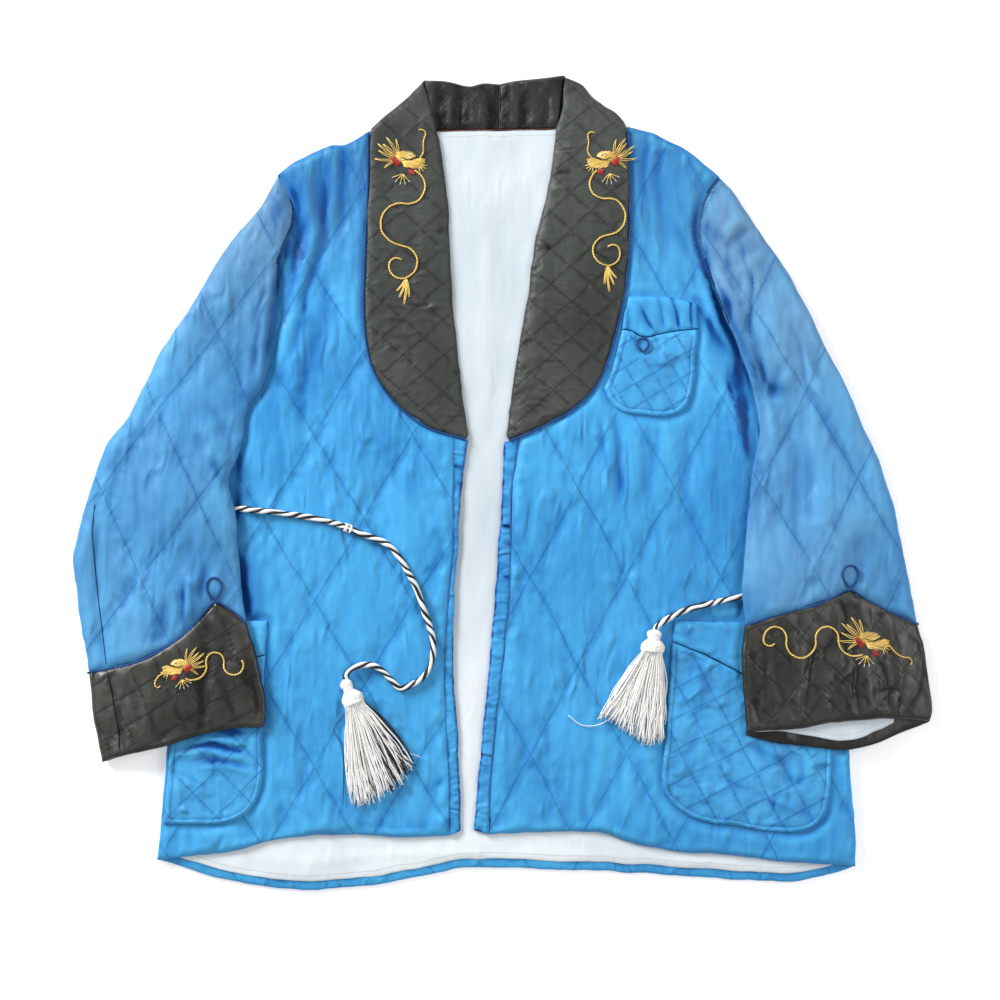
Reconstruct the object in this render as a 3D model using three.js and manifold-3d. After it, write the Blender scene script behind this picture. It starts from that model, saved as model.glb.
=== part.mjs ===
// A quilted satin robe with a shawl collar, laid flat on its back with both sleeves beside it.
// Millimetres, +Z up, +Y towards the collar, +X to the wearer's left. The underside rests on z = 0.
// Every panel is a wall of cloth over its own outline. Its rim and a lattice of inner points are
// joined into one upper and one lower skin, whose heights come from the layer that it lies on.
import * as THREE from "three";
import { mergeVertices } from "three/addons/utils/BufferGeometryUtils.js";
import Module from "manifold-3d";

const wasm = await Module();
wasm.setup();

// ---- Driving dimensions ----
const SEAM = 0.3; // between two pieces, side by side or on each other
const BACK_WALL = 4; // quilted satin over wadding, pressed by what lies on it
const LINING_WALL = 1;
const FRONT_WALL = 4;
const POCKET_WALL = 3;
const COLLAR_WALL = 3.2;
const NECK_WALL = 2.5;
const SLEEVE_UNDER_WALL = 2.5;
const SLEEVE_TOP_WALL = 3.2;
const CUFF_UNDER_WALL = 3.3;
const CUFF_TOP_WALL = 3.8;
const CUFF_LINING_WALL = 1;
const RIM_SHARE = 0.45; // of the wall's height that is left at a panel's rim
const RIM_ROUND = 7; // width of the rounded rim
const BODY_PUFF = 2; // rise of the wadding between the stitch lines
const COLLAR_PUFF = 1.4;
const POCKET_PUFF = 1.2;
const CUFF_PUFF = 1.3;
const CORD_RADIUS = 3.2;
const PIPING_RADIUS = 1.2;
const LOOP_RADIUS = 1.1;
const SLEEVE_LATTICE = 21; // spacing of the points that both sleeve sheets share
const CUFF_LATTICE = 12;
const RIM_STEP = 14;
const FINE_STEP = 10;
const COARSE_STEP = 34;

// Heights of the layers, from the table up
const LINING_Z = BACK_WALL + SEAM;
const FRONT_Z = LINING_Z + LINING_WALL + SEAM;
const FRONT_TOP = FRONT_Z + FRONT_WALL;
const ON_FRONT = FRONT_TOP + SEAM; // pockets, collar and sleeves start here
const ON_POCKET = ON_FRONT + POCKET_WALL + SEAM;
const ON_PUFF = FRONT_TOP + BODY_PUFF + SEAM; // the loose cord lies here
const ON_NECK = NECK_WALL + SEAM; // over the part of the collar that falls behind

const BLUE = 0x4aa0dc;
const SLEEVE_BLUE = 0x5f9dd0;
const CHARCOAL = 0x3e3c34;
const NECK_BLACK = 0x2b2a27;
const NAVY = 0x1d3f78;
const WHITE = 0xe8eef2;
const THREAD = 0xdfe0dc;

// ---- Tables of x, y along the edges, from the collar down. R is the wearer's right (-X) ----
const EDGES = {
  R: {
    shoulder: [[-132, 352], [-159, 338], [-177, 336], [-202, 324], [-225, 308]],
    armhole: [[-225, 308], [-216, 295], [-210, 276], [-210, 258], [-217, 240], [-225, 218]],
    underarm: [[-225, 218], [-244, 189], [-270, 157], [-295, 133]],
    side: [[-295, 133], [-312, -17], [-326, -157], [-335, -264], [-341, -340], [-346, -378]],
    hem: [[-346, -378], [-317, -374], [-272, -369], [-231, -358], [-164, -352], [-94, -355], [-53, -352]],
    bandSeam: [[-53, -352], [-53, -297], [-57, -238], [-57, -157], [-50, -72], [-49, 10], [-49, 48]],
    bandTop: [[-49, 48], [-34, 43.5]],
    bandHem: [[-41, -348], [-53, -352]],
    front: [[-34, 43.5], [-39, 10], [-43, -47], [-48, -122], [-49, -182], [-44, -254], [-42, -298],
      [-41, -348]],
    neckEdge: [[-49, 48], [-54, 90], [-62, 180], [-66, 244], [-72, 308], [-79, 351.5]],
    roll: [[-34, 50], [-37, 72], [-43, 116], [-49, 180], [-52, 244], [-57, 308], [-65, 352]],
    collarOuter: [[-131, 354], [-133, 303], [-136, 228], [-137, 164], [-131, 123], [-119, 97], [-100, 75],
      [-75, 57], [-36, 45]],
    collarTip: [[-36, 45], [-34, 50]],
    neckSide: [[-65, 352], [-70, 375], [-78, 403]],
    collarShoulder: [[-78, 403], [-94, 387], [-112, 371], [-131, 354]],
    neckTop: [[-2.4, 399], [-18, 400], [-33, 397], [-56, 402], [-78, 403]],
    sleeveOuter: [[-225, 308], [-244, 273], [-279, 231], [-311, 177], [-343, 129], [-374, 68], [-397, 37],
      [-416, -17], [-427, -56], [-431, -79], [-427, -104], [-423, -137], [-414, -190]],
    sleeveInner: [[-225, 218], [-227, 183], [-229, 148], [-237, 100], [-254, 72], [-260, 37], [-272, 3],
      [-270, -12], [-265, -32], [-264, -57], [-261, -93], [-255, -139]],
    cuffUpperOuter: [[-414, -190], [-390, -185], [-365, -179], [-335, -164], [-308, -143], [-286, -119]],
    cuffUpperInner: [[-286, -119], [-270, -127], [-255, -139]],
    cuffInner: [[-255, -139], [-246, -167], [-240, -193], [-235, -223], [-237, -244]],
    cuffLower: [[-237, -244], [-270, -246], [-304, -253], [-335, -263], [-362, -269], [-400, -280]],
    cuffUnderLower: [[-237, -244], [-270, -246], [-304, -253], [-335, -263], [-362, -269], [-400, -280]],
    cuffOuter: [[-400, -280], [-406, -254], [-411, -222], [-414, -190]],
    pocketInner: [[-235, -137], [-236, -171], [-239, -241], [-238, -286], [-241, -305], [-250, -324],
      [-266, -337], [-285, -341]],
    pocketHem: [[-285, -341], [-338, -341]],
    pocketOuter: [[-338, -341], [-332, -264], [-324, -175]],
    pocketBand: [[-324, -175], [-300, -180], [-283, -192], [-262, -180], [-236, -171]],
    pocketBandOuter: [[-324, -175], [-321, -140]],
    pocketTop: [[-321, -140], [-235, -137]],
  },
  L: {
    shoulder: [[124, 356], [150, 350], [188, 331], [218, 306]],
    armhole: [[218, 306], [208, 294], [199, 276], [196, 255], [200, 231], [211, 204], [217, 183],
      [226, 159]],
    underarm: [[226, 159], [250, 145], [283, 136], [315, 133]],
    side: [[315, 133], [326, 13], [338, -137], [347, -263], [352, -334], [355, -383]],
    hem: [[355, -383], [317, -381], [275, -378], [221, -372], [177, -369], [126, -359], [94, -350],
      [-13, -352]],
    bandSeam: [[-13, -352], [-11, -298], [-6, -240], [0, -181], [6, -117], [8, -64], [10, -5], [17, 45.5]],
    bandTop: [[17, 45.5], [2, 41]],
    bandHem: [[-28, -348], [-13, -352]],
    front: [[2, 41], [1, 10], [-2, -34], [-6, -93], [-12, -169], [-17, -225], [-23, -287], [-28, -348]],
    neckEdge: [[17, 45.5], [25, 100], [33, 148], [41, 196], [47, 244], [60, 292], [68, 353]],
    roll: [[5, 48], [11, 100], [19, 148], [27, 196], [33, 244], [46, 292], [54, 356]],
    collarOuter: [[124, 356], [127, 324], [127, 276], [126, 228], [121, 186], [106, 126], [94, 99],
      [71, 75], [39, 57], [7, 43]],
    collarTip: [[7, 43], [5, 48]],
    neckSide: [[54, 356], [59, 371], [62, 408]],
    collarShoulder: [[62, 408], [78, 401], [94, 384], [116, 368], [124, 356]],
    neckTop: [[-2.3, 399], [11, 402], [39, 405], [62, 408]],
    sleeveOuter: [[218, 306], [232, 291], [250, 264], [283, 216], [304, 177], [322, 138], [346, 93],
      [364, 51], [382, 9], [395, -32], [403, -72], [409, -104], [416, -141]],
    sleeveInner: [[226, 159], [238, 129], [250, 93], [257, 58], [255, 37], [250, 8], [246, -32],
      [242, -72], [239, -112], [242, -142]],
    cuffUpperOuter: [[416, -141], [382, -126], [361, -115], [347, -107]],
    cuffUpperInner: [[347, -107], [320, -119], [278, -131], [242, -142]],
    cuffInner: [[242, -142], [239, -172], [241, -207], [244, -248]],
    cuffLower: [[244, -248], [298, -245], [324, -239], [367, -236], [408, -236], [428, -239]],
    cuffUnderLower: [[244, -252], [270, -259], [320, -265], [348, -266], [374, -260], [395, -252],
      [428, -240]],
    cuffOuter: [[428, -239], [431, -228], [427, -197], [422, -165], [416, -141]],
    pocketInner: [[171, -137], [170, -159], [167, -198], [163, -252], [160, -295], [162, -309],
      [170, -320], [187, -333], [205, -339], [237, -344]],
    pocketHem: [[237, -344], [270, -349], [291, -350]],
    pocketOuter: [[291, -350], [309, -345], [322, -332], [327, -317], [329, -267], [327, -217], [325, -165]],
    pocketBand: [[325, -165], [298, -175], [260, -189], [248, -193], [237, -189], [198, -169], [170, -159]],
    pocketBandOuter: [[325, -165], [324, -142]],
    pocketTop: [[324, -142], [171, -137]],
  },
};
const BACK_HEM = [[-346, -378], [-330, -382], [-285, -396], [-256, -402], [-199, -408], [-135, -404],
  [-72, -393], [-36, -386], [30, -387], [135, -391], [221, -397], [298, -399], [349, -386], [355, -383]];
const CHEST = {
  top: [[125.5, 187], [153, 187], [168, 186], [188, 181], [195, 179]],
  outer: [[195, 179], [195, 154.5]],
  band: [[195, 154.5], [164, 150], [142, 145], [131, 150], [119.5, 153]],
  inner: [[119.5, 153], [122.5, 170], [125.5, 187]],
  body: [[195, 154.5], [194, 127], [191, 100], [188, 83], [180, 72], [162, 67], [143, 68], [123, 70],
    [110, 79], [102, 95]],
  collarSide: [[102, 95], [110.5, 116], [119.5, 153]],
};
const BACK_TOP = [[124, 356], [-132, 352]];
const FALL_LOWER = [[-131, 350], [-110, 342], [-60, 337], [-2.4, 336], [60, 340], [105, 346], [124, 351]];

// Quilting: half a diamond wide and high, the point where two lines cross, and the turn in degrees
const QUILTS = {
  frontR: { wide: 50, high: 83, x: -188, y: -119, turn: 0 },
  frontL: { wide: 48, high: 89, x: 76, y: -5, turn: 0 },
  sleeveR: { wide: 50, high: 84, x: -284, y: 150, turn: -6.3 },
  sleeveL: { wide: 48, high: 88, x: 302, y: 90, turn: 3 },
  collarR: { wide: 20, high: 18, x: -79, y: 145, turn: 0 },
  collarL: { wide: 20, high: 18, x: 70, y: 145, turn: 0 },
  cuffR: { wide: 17, high: 20, x: -330, y: -215, turn: -17 },
  cuffL: { wide: 17, high: 20, x: 335, y: -190, turn: 4 },
  pocketR: { wide: 24, high: 24, x: -285, y: -285, turn: 0 },
  pocketL: { wide: 19.8, high: 19.8, x: 240, y: -265, turn: -17 },
  chest: { wide: 14, high: 14, x: 150, y: 110, turn: -14 },
};

// Folds: a ridge (rise > 0) or trough (rise < 0) of the given half width from x1, y1 to x2, y2
const FOLDS = {
  frontR: [
    { x1: -159, y1: 334, x2: -168, y2: 235, half: 8, rise: -1.4 },
    { x1: -200, y1: 318, x2: -186, y2: 230, half: 10, rise: 1.6 },
    { x1: -177, y1: 200, x2: -205, y2: 55, half: 14, rise: -1.2 },
    { x1: -215, y1: 200, x2: -205, y2: 60, half: 13, rise: 2.2 },
  ],
  frontL: [
    { x1: 150, y1: 340, x2: 158, y2: 215, half: 8, rise: -1.3 },
    { x1: 174, y1: 262, x2: 190, y2: 215, half: 8, rise: -1.5 },
    { x1: 186, y1: 300, x2: 182, y2: 215, half: 10, rise: 1.8 },
    { x1: 195, y1: 235, x2: 232, y2: 118, half: 9, rise: 5 },
    { x1: 208, y1: 150, x2: 240, y2: 70, half: 8, rise: -1.6 },
    { x1: 222, y1: 95, x2: 246, y2: 25, half: 9, rise: 3 },
    { x1: 115, y1: 60, x2: 118, y2: -20, half: 8, rise: -1.2 },
    { x1: 133, y1: 60, x2: 135, y2: -30, half: 9, rise: 1.5 },
  ],
  sleeveR: [
    { x1: -222, y1: 215, x2: -236, y2: 105, half: 10, rise: 3.5 },
    { x1: -262, y1: 170, x2: -258, y2: 60, half: 13, rise: -1.4 },
    { x1: -270, y1: 5, x2: -300, y2: 60, half: 12, rise: 3 },
    { x1: -335, y1: -120, x2: -352, y2: -165, half: 9, rise: -1.3 },
    { x1: -300, y1: -90, x2: -316, y2: -138, half: 9, rise: 2.2 },
    { x1: -365, y1: -90, x2: -382, y2: -125, half: 12, rise: -1.2 },
  ],
  sleeveL: [
    { x1: 228, y1: 165, x2: 250, y2: 95, half: 9, rise: 5 },
    { x1: 250, y1: 150, x2: 268, y2: 85, half: 9, rise: -1.8 },
    { x1: 262, y1: 160, x2: 285, y2: 100, half: 11, rise: 3.5 },
    { x1: 226, y1: 245, x2: 246, y2: 272, half: 10, rise: 2.4 },
    { x1: 290, y1: 60, x2: 290, y2: -70, half: 13, rise: -1.4 },
    { x1: 315, y1: 50, x2: 322, y2: -80, half: 14, rise: 2.4 },
    { x1: 264, y1: 40, x2: 262, y2: -60, half: 11, rise: 1.8 },
  ],
  pocketR: [
    { x1: -325, y1: -262, x2: -245, y2: -268, half: 8, rise: 1.4 },
    { x1: -325, y1: -282, x2: -245, y2: -288, half: 7, rise: -0.8 },
  ],
  pocketL: [
    { x1: 250, y1: -270, x2: 300, y2: -300, half: 10, rise: -0.9 },
  ],
};

// Gathers of the collar behind the neck: places along X and the rise of each
const NECK_GATHERS = [
  { x: -68, rise: 1.6 }, { x: -59, rise: 1.1 }, { x: -51, rise: 1.8 }, { x: -43, rise: 1.2 },
  { x: -34, rise: 1.6 }, { x: -25, rise: 1.1 }, { x: -15, rise: 1.5 }, { x: 7, rise: 1.4 },
  { x: 16, rise: 1.1 }, { x: 24, rise: 1.7 }, { x: 33, rise: 1.2 }, { x: 41, rise: 1.6 },
  { x: 49, rise: 1.3 },
];
const GATHER_HALF = 3.4;

// The belt cord's centre line: the part under the sleeve, the part in the open and the end
const UNDER_SLEEVE = ON_FRONT + CORD_RADIUS;
const OPEN_CORD = ON_PUFF + CORD_RADIUS;
const CORDS = {
  R: {
    hidden: [[-308, -22], [-290, -23], [-266, -25]],
    open: [[-248, -27], [-228, -29], [-195, -34], [-179, -37], [-154, -45], [-137, -52], [-123, -57],
      [-112, -63], [-103, -74], [-90, -96], [-82, -114], [-77, -130], [-72, -143], [-69, -159],
      [-70, -177], [-77, -192], [-88, -200], [-101, -205], [-110, -197], [-119, -188], [-130, -182],
      [-141, -182], [-150, -186]],
    end: [-156, -193],
  },
  L: {
    hidden: [[328, -44], [313, -67], [293, -87], [268, -104], [237, -114]],
    open: [[221, -117], [205, -121], [189, -125], [176, -130], [168, -134], [160, -139]],
    end: [154, -144],
  },
};
const END_LIFT = 0.6; // of the cord's end, at the tassel's head
const CORD_STEP = 18;

// Tassels: where the head starts and ends, its widths, and the ends of the outermost strands
const TASSELS = {
  R: {
    top: [-157.4, -196], foot: [-147, -220], neck: 11, skirt: 19,
    from: [-152, -311], mid: [-137, -322], to: [-90, -286],
  },
  L: {
    top: [152.2, -146], foot: [150, -168], neck: 14, skirt: 20,
    from: [96, -236], mid: [140, -262], to: [159, -246],
  },
};
const STRANDS_IN_ROW = 7;
const STRAND_ROWS = 3;
const STRAND_RADIUS = 0.75;
const ROW_GAP = 2; // between the rows of strands

// ---- Outlines ----
function curve(rows) {
  const points = rows.map(([x, y, z = 0]) => new THREE.Vector3(x, y, z));
  return new THREE.CatmullRomCurve3(points, false, "centripetal");
}

const reversed = (rows) => [...rows].reverse();

function along(rows, step) {
  const line = curve(rows);
  return line.getSpacedPoints(Math.max(1, Math.round(line.getLength() / step)));
}

const fine = (rows) => ({ rows, step: FINE_STEP });
const coarse = (rows) => ({ rows, step: COARSE_STEP });

// A ring of points through edges that follow each other, counter-clockwise, moved in by half a seam
function outline(step, ...edges) {
  const ring = [];
  for (const edge of edges) {
    for (const { x, y } of along(edge.rows ?? edge, edge.step ?? step)) {
      const last = ring.at(-1);
      if (!last || Math.hypot(x - last.x, y - last.y) > 1) ring.push(new THREE.Vector2(x, y));
    }
  }
  if (ring[0].distanceTo(ring.at(-1)) < 1) ring.pop();
  if (THREE.ShapeUtils.area(ring) < 0) ring.reverse();
  return inset(ring, SEAM / 2);
}

function inset(ring, by) {
  const count = ring.length;
  return ring.map((point, i) => {
    const before = point.clone().sub(ring[(i + count - 1) % count]).normalize();
    const after = ring[(i + 1) % count].clone().sub(point).normalize();
    const inward = new THREE.Vector2(-before.y - after.y, before.x + after.x).normalize();
    const lean = Math.max(0.5, inward.x * -after.y + inward.y * after.x);
    return point.clone().addScaledVector(inward, by / lean);
  });
}

// Distance from a point to a line of points, closed or open
function reach(x, y, line, closed) {
  let best = Infinity;
  for (let i = closed ? 0 : 1; i < line.length; i++) {
    const a = line[(i + line.length - 1) % line.length];
    const b = line[i];
    const t = ((x - a.x) * (b.x - a.x) + (y - a.y) * (b.y - a.y)) / a.distanceToSquared(b);
    const s = THREE.MathUtils.clamp(t, 0, 1);
    best = Math.min(best, Math.hypot(x - a.x - s * (b.x - a.x), y - a.y - s * (b.y - a.y)));
  }
  return best;
}

function within(x, y, ring) {
  let inside = false;
  for (let i = 0, j = ring.length - 1; i < ring.length; j = i++) {
    const a = ring[i];
    const b = ring[j];
    if (a.y > y !== b.y > y && x < a.x + ((y - a.y) * (b.x - a.x)) / (b.y - a.y)) inside = !inside;
  }
  return inside;
}

const outside = (x, y, ring) => (within(x, y, ring) ? 0 : reach(x, y, ring, true));
const smooth = (t) => THREE.MathUtils.smoothstep(t, 0, 1);

// ---- Skins ----
// Points at every crossing of the stitch lines and at equal parts between them
function quiltLattice({ wide, high, x, y, turn }, parts, ring) {
  const box = new THREE.Box2().setFromPoints(ring);
  const stepX = wide / parts;
  const stepY = high / parts;
  const span = Math.ceil(box.getSize(new THREE.Vector2()).length() / Math.min(stepX, stepY)) + parts;
  const sine = Math.sin(THREE.MathUtils.degToRad(turn));
  const cosine = Math.cos(THREE.MathUtils.degToRad(turn));
  const points = [];
  for (let i = -span; i <= span; i++) {
    for (let j = -span; j <= span; j++) {
      if ((i + j) % 2) continue;
      const u = i * stepX;
      const v = j * stepY;
      const point = new THREE.Vector2(x + u * cosine - v * sine, y + u * sine + v * cosine);
      if (box.containsPoint(point)) points.push(point);
    }
  }
  return points;
}

// The rise of the wadding: nothing on a stitch line and most in the middle of a diamond
function quiltRise({ wide, high, x, y, turn }, px, py) {
  const angle = THREE.MathUtils.degToRad(-turn);
  const u = (px - x) * Math.cos(angle) - (py - y) * Math.sin(angle);
  const v = (px - x) * Math.sin(angle) + (py - y) * Math.cos(angle);
  const first = Math.abs(Math.sin((Math.PI / 2) * (u / wide + v / high)));
  const second = Math.abs(Math.sin((Math.PI / 2) * (u / wide - v / high)));
  return Math.sqrt(first * second);
}

function foldRise(folds, x, y) {
  let rise = 0;
  for (const { x1, y1, x2, y2, half, rise: most } of folds) {
    const length = Math.hypot(x2 - x1, y2 - y1);
    const t = ((x - x1) * (x2 - x1) + (y - y1) * (y2 - y1)) / length ** 2;
    const away = Math.abs((x - x1) * (y2 - y1) - (y - y1) * (x2 - x1)) / length;
    const ends = smooth((t + 0.25) / 0.5) * smooth((1.25 - t) / 0.5);
    rise += most * ends * Math.exp(-((away / half) ** 2));
  }
  return rise;
}

// A hair's shift of each point, which breaks ties in a regular lattice and along a straight rim
const HAIR = 0.002;
const UNEVEN = [12.9898, 78.233]; // radians from one point to the next, so that no two shifts agree
const shifted = ({ x, y }, i) => ({
  x: x + HAIR * Math.sin(i * UNEVEN[0]),
  y: y + HAIR * Math.sin(i * UNEVEN[1]),
});

// Delaunay triangles of the points, swept from left to right
function delaunay(points) {
  const BIG = 20000;
  const all = [...points];
  const order = all.map((_, i) => i).sort((a, b) => all[a].x - all[b].x);
  const count = all.length;
  all.push({ x: -BIG, y: -BIG }, { x: BIG, y: -BIG }, { x: 0, y: BIG });
  const circled = (a, b, c) => {
    const [p, q, r] = [all[a], all[b], all[c]];
    const twice = 2 * (p.x * (q.y - r.y) + q.x * (r.y - p.y) + r.x * (p.y - q.y));
    const [pp, qq, rr] = [p, q, r].map((s) => s.x * s.x + s.y * s.y);
    const x = (pp * (q.y - r.y) + qq * (r.y - p.y) + rr * (p.y - q.y)) / twice;
    const y = (pp * (r.x - q.x) + qq * (p.x - r.x) + rr * (q.x - p.x)) / twice;
    return { corners: twice > 0 ? [a, b, c] : [a, c, b], x, y, square: (p.x - x) ** 2 + (p.y - y) ** 2 };
  };
  let open = [circled(count, count + 1, count + 2)];
  const done = [];
  for (const next of order) {
    const { x, y } = all[next];
    const edges = new Map();
    open = open.filter((triangle) => {
      const dx = x - triangle.x;
      if (dx > 0 && dx * dx > triangle.square) {
        done.push(triangle);
        return false;
      }
      if (dx * dx + (y - triangle.y) ** 2 > triangle.square) return true;
      const [a, b, c] = triangle.corners;
      for (const [from, to] of [[a, b], [b, c], [c, a]]) {
        if (!edges.delete(`${to} ${from}`)) edges.set(`${from} ${to}`, [from, to]);
      }
      return false;
    });
    for (const [from, to] of edges.values()) open.push(circled(from, to, next));
  }
  const found = [...done, ...open].map(({ corners }) => corners);
  return found.filter((corners) => corners.every((i) => i < count));
}

// Triangles that fill a ring with the given points inside it, and the ring's edges that they miss
function fill(ring, points) {
  const all = [...ring, ...points];
  const moved = all.map(shifted);
  const edge = moved.slice(0, ring.length);
  const triangles = delaunay(moved).filter((corners) => {
    const x = corners.reduce((sum, i) => sum + moved[i].x, 0) / 3;
    const y = corners.reduce((sum, i) => sum + moved[i].y, 0) / 3;
    return within(x, y, edge);
  });
  const edges = new Set(triangles.flatMap(([a, b, c]) => [`${a} ${b}`, `${b} ${c}`, `${c} ${a}`]));
  const missed = ring.map((_, i) => i).filter((i) => !edges.has(`${i} ${(i + 1) % ring.length}`));
  return { all, triangles, missed };
}

// A wall of cloth: bottom and top give the height at x, y and the distance to the rim
function wall({ ring, upper, lower = [], bottom, top, clear = 0.5 * RIM_STEP }) {
  let rim = ring;
  const inner = (points) => points.filter(({ x, y }) => within(x, y, rim) && reach(x, y, rim, true) > clear);
  let over = fill(rim, inner(upper));
  let under = fill(rim, inner(lower));
  for (let tries = 0; over.missed.length + under.missed.length && tries < 6; tries++) {
    const split = new Set([...over.missed, ...under.missed]);
    rim = rim.flatMap((point, i) => {
      const middle = point.clone().lerp(rim[(i + 1) % rim.length], 0.5);
      return split.has(i) ? [point, middle] : [point];
    });
    over = fill(rim, inner(upper));
    under = fill(rim, inner(lower));
  }
  const positions = [];
  const index = [];
  for (const { x, y } of over.all) positions.push(x, y, top(x, y, reach(x, y, rim, true)));
  for (const { x, y } of under.all) positions.push(x, y, bottom(x, y, reach(x, y, rim, true)));
  const base = over.all.length;
  for (const [a, b, c] of over.triangles) index.push(a, b, c);
  for (const [a, b, c] of under.triangles) index.push(base + a, base + c, base + b);
  for (let i = 0; i < rim.length; i++) {
    const j = (i + 1) % rim.length;
    index.push(base + i, base + j, j, base + i, j, i);
  }
  const geometry = new THREE.BufferGeometry();
  geometry.setAttribute("position", new THREE.Float32BufferAttribute(positions, 3));
  geometry.setIndex(index);
  return geometry;
}

// The share of a wall's height at a distance from its rim
function rounded(distance) {
  const left = 1 - Math.min(1, distance / RIM_ROUND);
  return RIM_SHARE + (1 - RIM_SHARE) * Math.sqrt(1 - left ** 2);
}

// ---- Tubes ----
function tube(rows, radius, sides, step) {
  const path = curve(rows);
  const section = new THREE.Shape();
  for (let i = 0; i < sides; i++) {
    const angle = (2 * Math.PI * i) / sides;
    section[i ? "lineTo" : "moveTo"](radius * Math.cos(angle), radius * Math.sin(angle));
  }
  section.closePath();
  const steps = Math.max(2, Math.round(path.getLength() / step));
  return new THREE.ExtrudeGeometry(section, { steps, extrudePath: path, bevelEnabled: false });
}

// ---- Joining with manifold-3d ----
function solid(geometry) {
  const bare = geometry.clone();
  bare.deleteAttribute("normal");
  bare.deleteAttribute("uv");
  const merged = mergeVertices(bare, 1e-4);
  const mesh = new wasm.Mesh({
    numProp: 3,
    vertProperties: Float32Array.from(merged.attributes.position.array),
    triVerts: Uint32Array.from(merged.index.array),
  });
  return new wasm.Manifold(mesh);
}

function joined(geometries) {
  const whole = geometries.map(solid).reduce((sum, part) => sum.add(part));
  const { vertProperties, triVerts } = whole.getMesh();
  const geometry = new THREE.BufferGeometry();
  geometry.setAttribute("position", new THREE.BufferAttribute(vertProperties, 3));
  geometry.setIndex(new THREE.BufferAttribute(triVerts, 1));
  return geometry;
}

// ---- The robe ----
const robe = new THREE.Group();

function add(name, geometry, color, roughness = 0.45) {
  const mesh = new THREE.Mesh(geometry, new THREE.MeshStandardMaterial({ color, roughness, metalness: 0 }));
  mesh.name = name;
  robe.add(mesh);
}

// Outlines that other pieces are fitted to
const bodyRing = (side) => outline(RIM_STEP, EDGES[side].underarm, EDGES[side].side, [[0, -380], [0, 150]]);
const covers = {};
for (const side of ["R", "L"]) {
  const e = EDGES[side];
  covers[side] = {
    collar: outline(FINE_STEP, e.collarOuter, e.collarTip, e.roll, e.neckSide, e.collarShoulder),
    sleeve: outline(RIM_STEP, reversed(e.armhole), e.sleeveOuter, reversed(e.cuffOuter),
      reversed(e.cuffUnderLower), reversed(e.cuffInner), reversed(e.sleeveInner)),
    pocket: outline(RIM_STEP, e.pocketInner, e.pocketHem, e.pocketOuter, e.pocketBandOuter, e.pocketTop),
  };
}
covers.L.chest = outline(FINE_STEP, CHEST.top, CHEST.outer, CHEST.body, CHEST.collarSide, CHEST.inner);

// 0 under a cover and just beside it, 1 in the open
const COVER_EDGE = 16;
const COVER_FADE = 14;
function open(x, y, rings) {
  const away = Math.min(...rings.map((ring) => outside(x, y, ring)), COVER_EDGE + COVER_FADE);
  return smooth((away - COVER_EDGE) / COVER_FADE);
}

// The height that a sleeve or cuff lies on: the table, the body, the pocket or the cord on the body
const RAMP = 62;
const POCKET_RAMP = 60;
const CORD_RAMP = 26;
function support(side) {
  const body = bodyRing(side);
  const pocket = covers[side].pocket;
  const cord = along(CORDS[side].hidden, FINE_STEP);
  const ramp = (distance, width) => smooth(1 - (distance - SLEEVE_LATTICE) / width);
  return (x, y) => {
    const onBody = ON_FRONT * ramp(outside(x, y, body), RAMP);
    const onPocket = (ON_POCKET - ON_FRONT) * ramp(outside(x, y, pocket), POCKET_RAMP);
    const onCord = (2 * CORD_RADIUS + SEAM) * ramp(reach(x, y, cord, false) - CORD_RADIUS, CORD_RAMP);
    return onBody + Math.max(onPocket, onCord);
  };
}

// Back and its lining
const fallTop = [EDGES.L.neckTop.at(-1), EDGES.R.neckTop.at(-1)];
const fallRing = outline(RIM_STEP, FALL_LOWER, reversed(EDGES.L.collarShoulder), fallTop,
  EDGES.R.collarShoulder);
const backRing = outline(RIM_STEP, coarse(BACK_TOP), EDGES.R.shoulder, EDGES.R.armhole, EDGES.R.underarm,
  coarse(EDGES.R.side), BACK_HEM, coarse(reversed(EDGES.L.side)), reversed(EDGES.L.underarm),
  reversed(EDGES.L.armhole), reversed(EDGES.L.shoulder));
const FALL_CLEAR = 34;
const FALL_RAMP = 30;
const BACK_BOTTOM_PARTS = 3;
const FALL_REACH = 240; // below this Y the back's underside is flat
const overFall = (x, y) => ON_NECK * smooth(1 - (outside(x, y, fallRing) - FALL_CLEAR) / FALL_RAMP);
add("back", wall({
  ring: backRing,
  upper: [],
  lower: quiltLattice(QUILTS.frontL, BACK_BOTTOM_PARTS, backRing).filter(({ y }) => y > FALL_REACH),
  bottom: overFall,
  top: () => BACK_WALL,
}), BLUE);

const LINING_MARGIN = 9;
const NECK_Y = 340; // above this the lining reaches the neck seam
const neckSeam = (x) => THREE.MathUtils.mapLinear(x, -132, 124, 352, 356) - SEAM;
const coarseRing = outline(COARSE_STEP, BACK_TOP, EDGES.R.shoulder, EDGES.R.armhole, EDGES.R.underarm,
  EDGES.R.side, BACK_HEM, reversed(EDGES.L.side), reversed(EDGES.L.underarm),
  reversed(EDGES.L.armhole), reversed(EDGES.L.shoulder));
const liningRing = inset(coarseRing, LINING_MARGIN);
for (const point of liningRing) {
  if (point.y > NECK_Y) point.y = neckSeam(point.x);
}
add("back_lining", wall({
  ring: liningRing,
  upper: [],
  bottom: () => LINING_Z,
  top: () => LINING_Z + LINING_WALL,
}), WHITE, 0.7);

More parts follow.
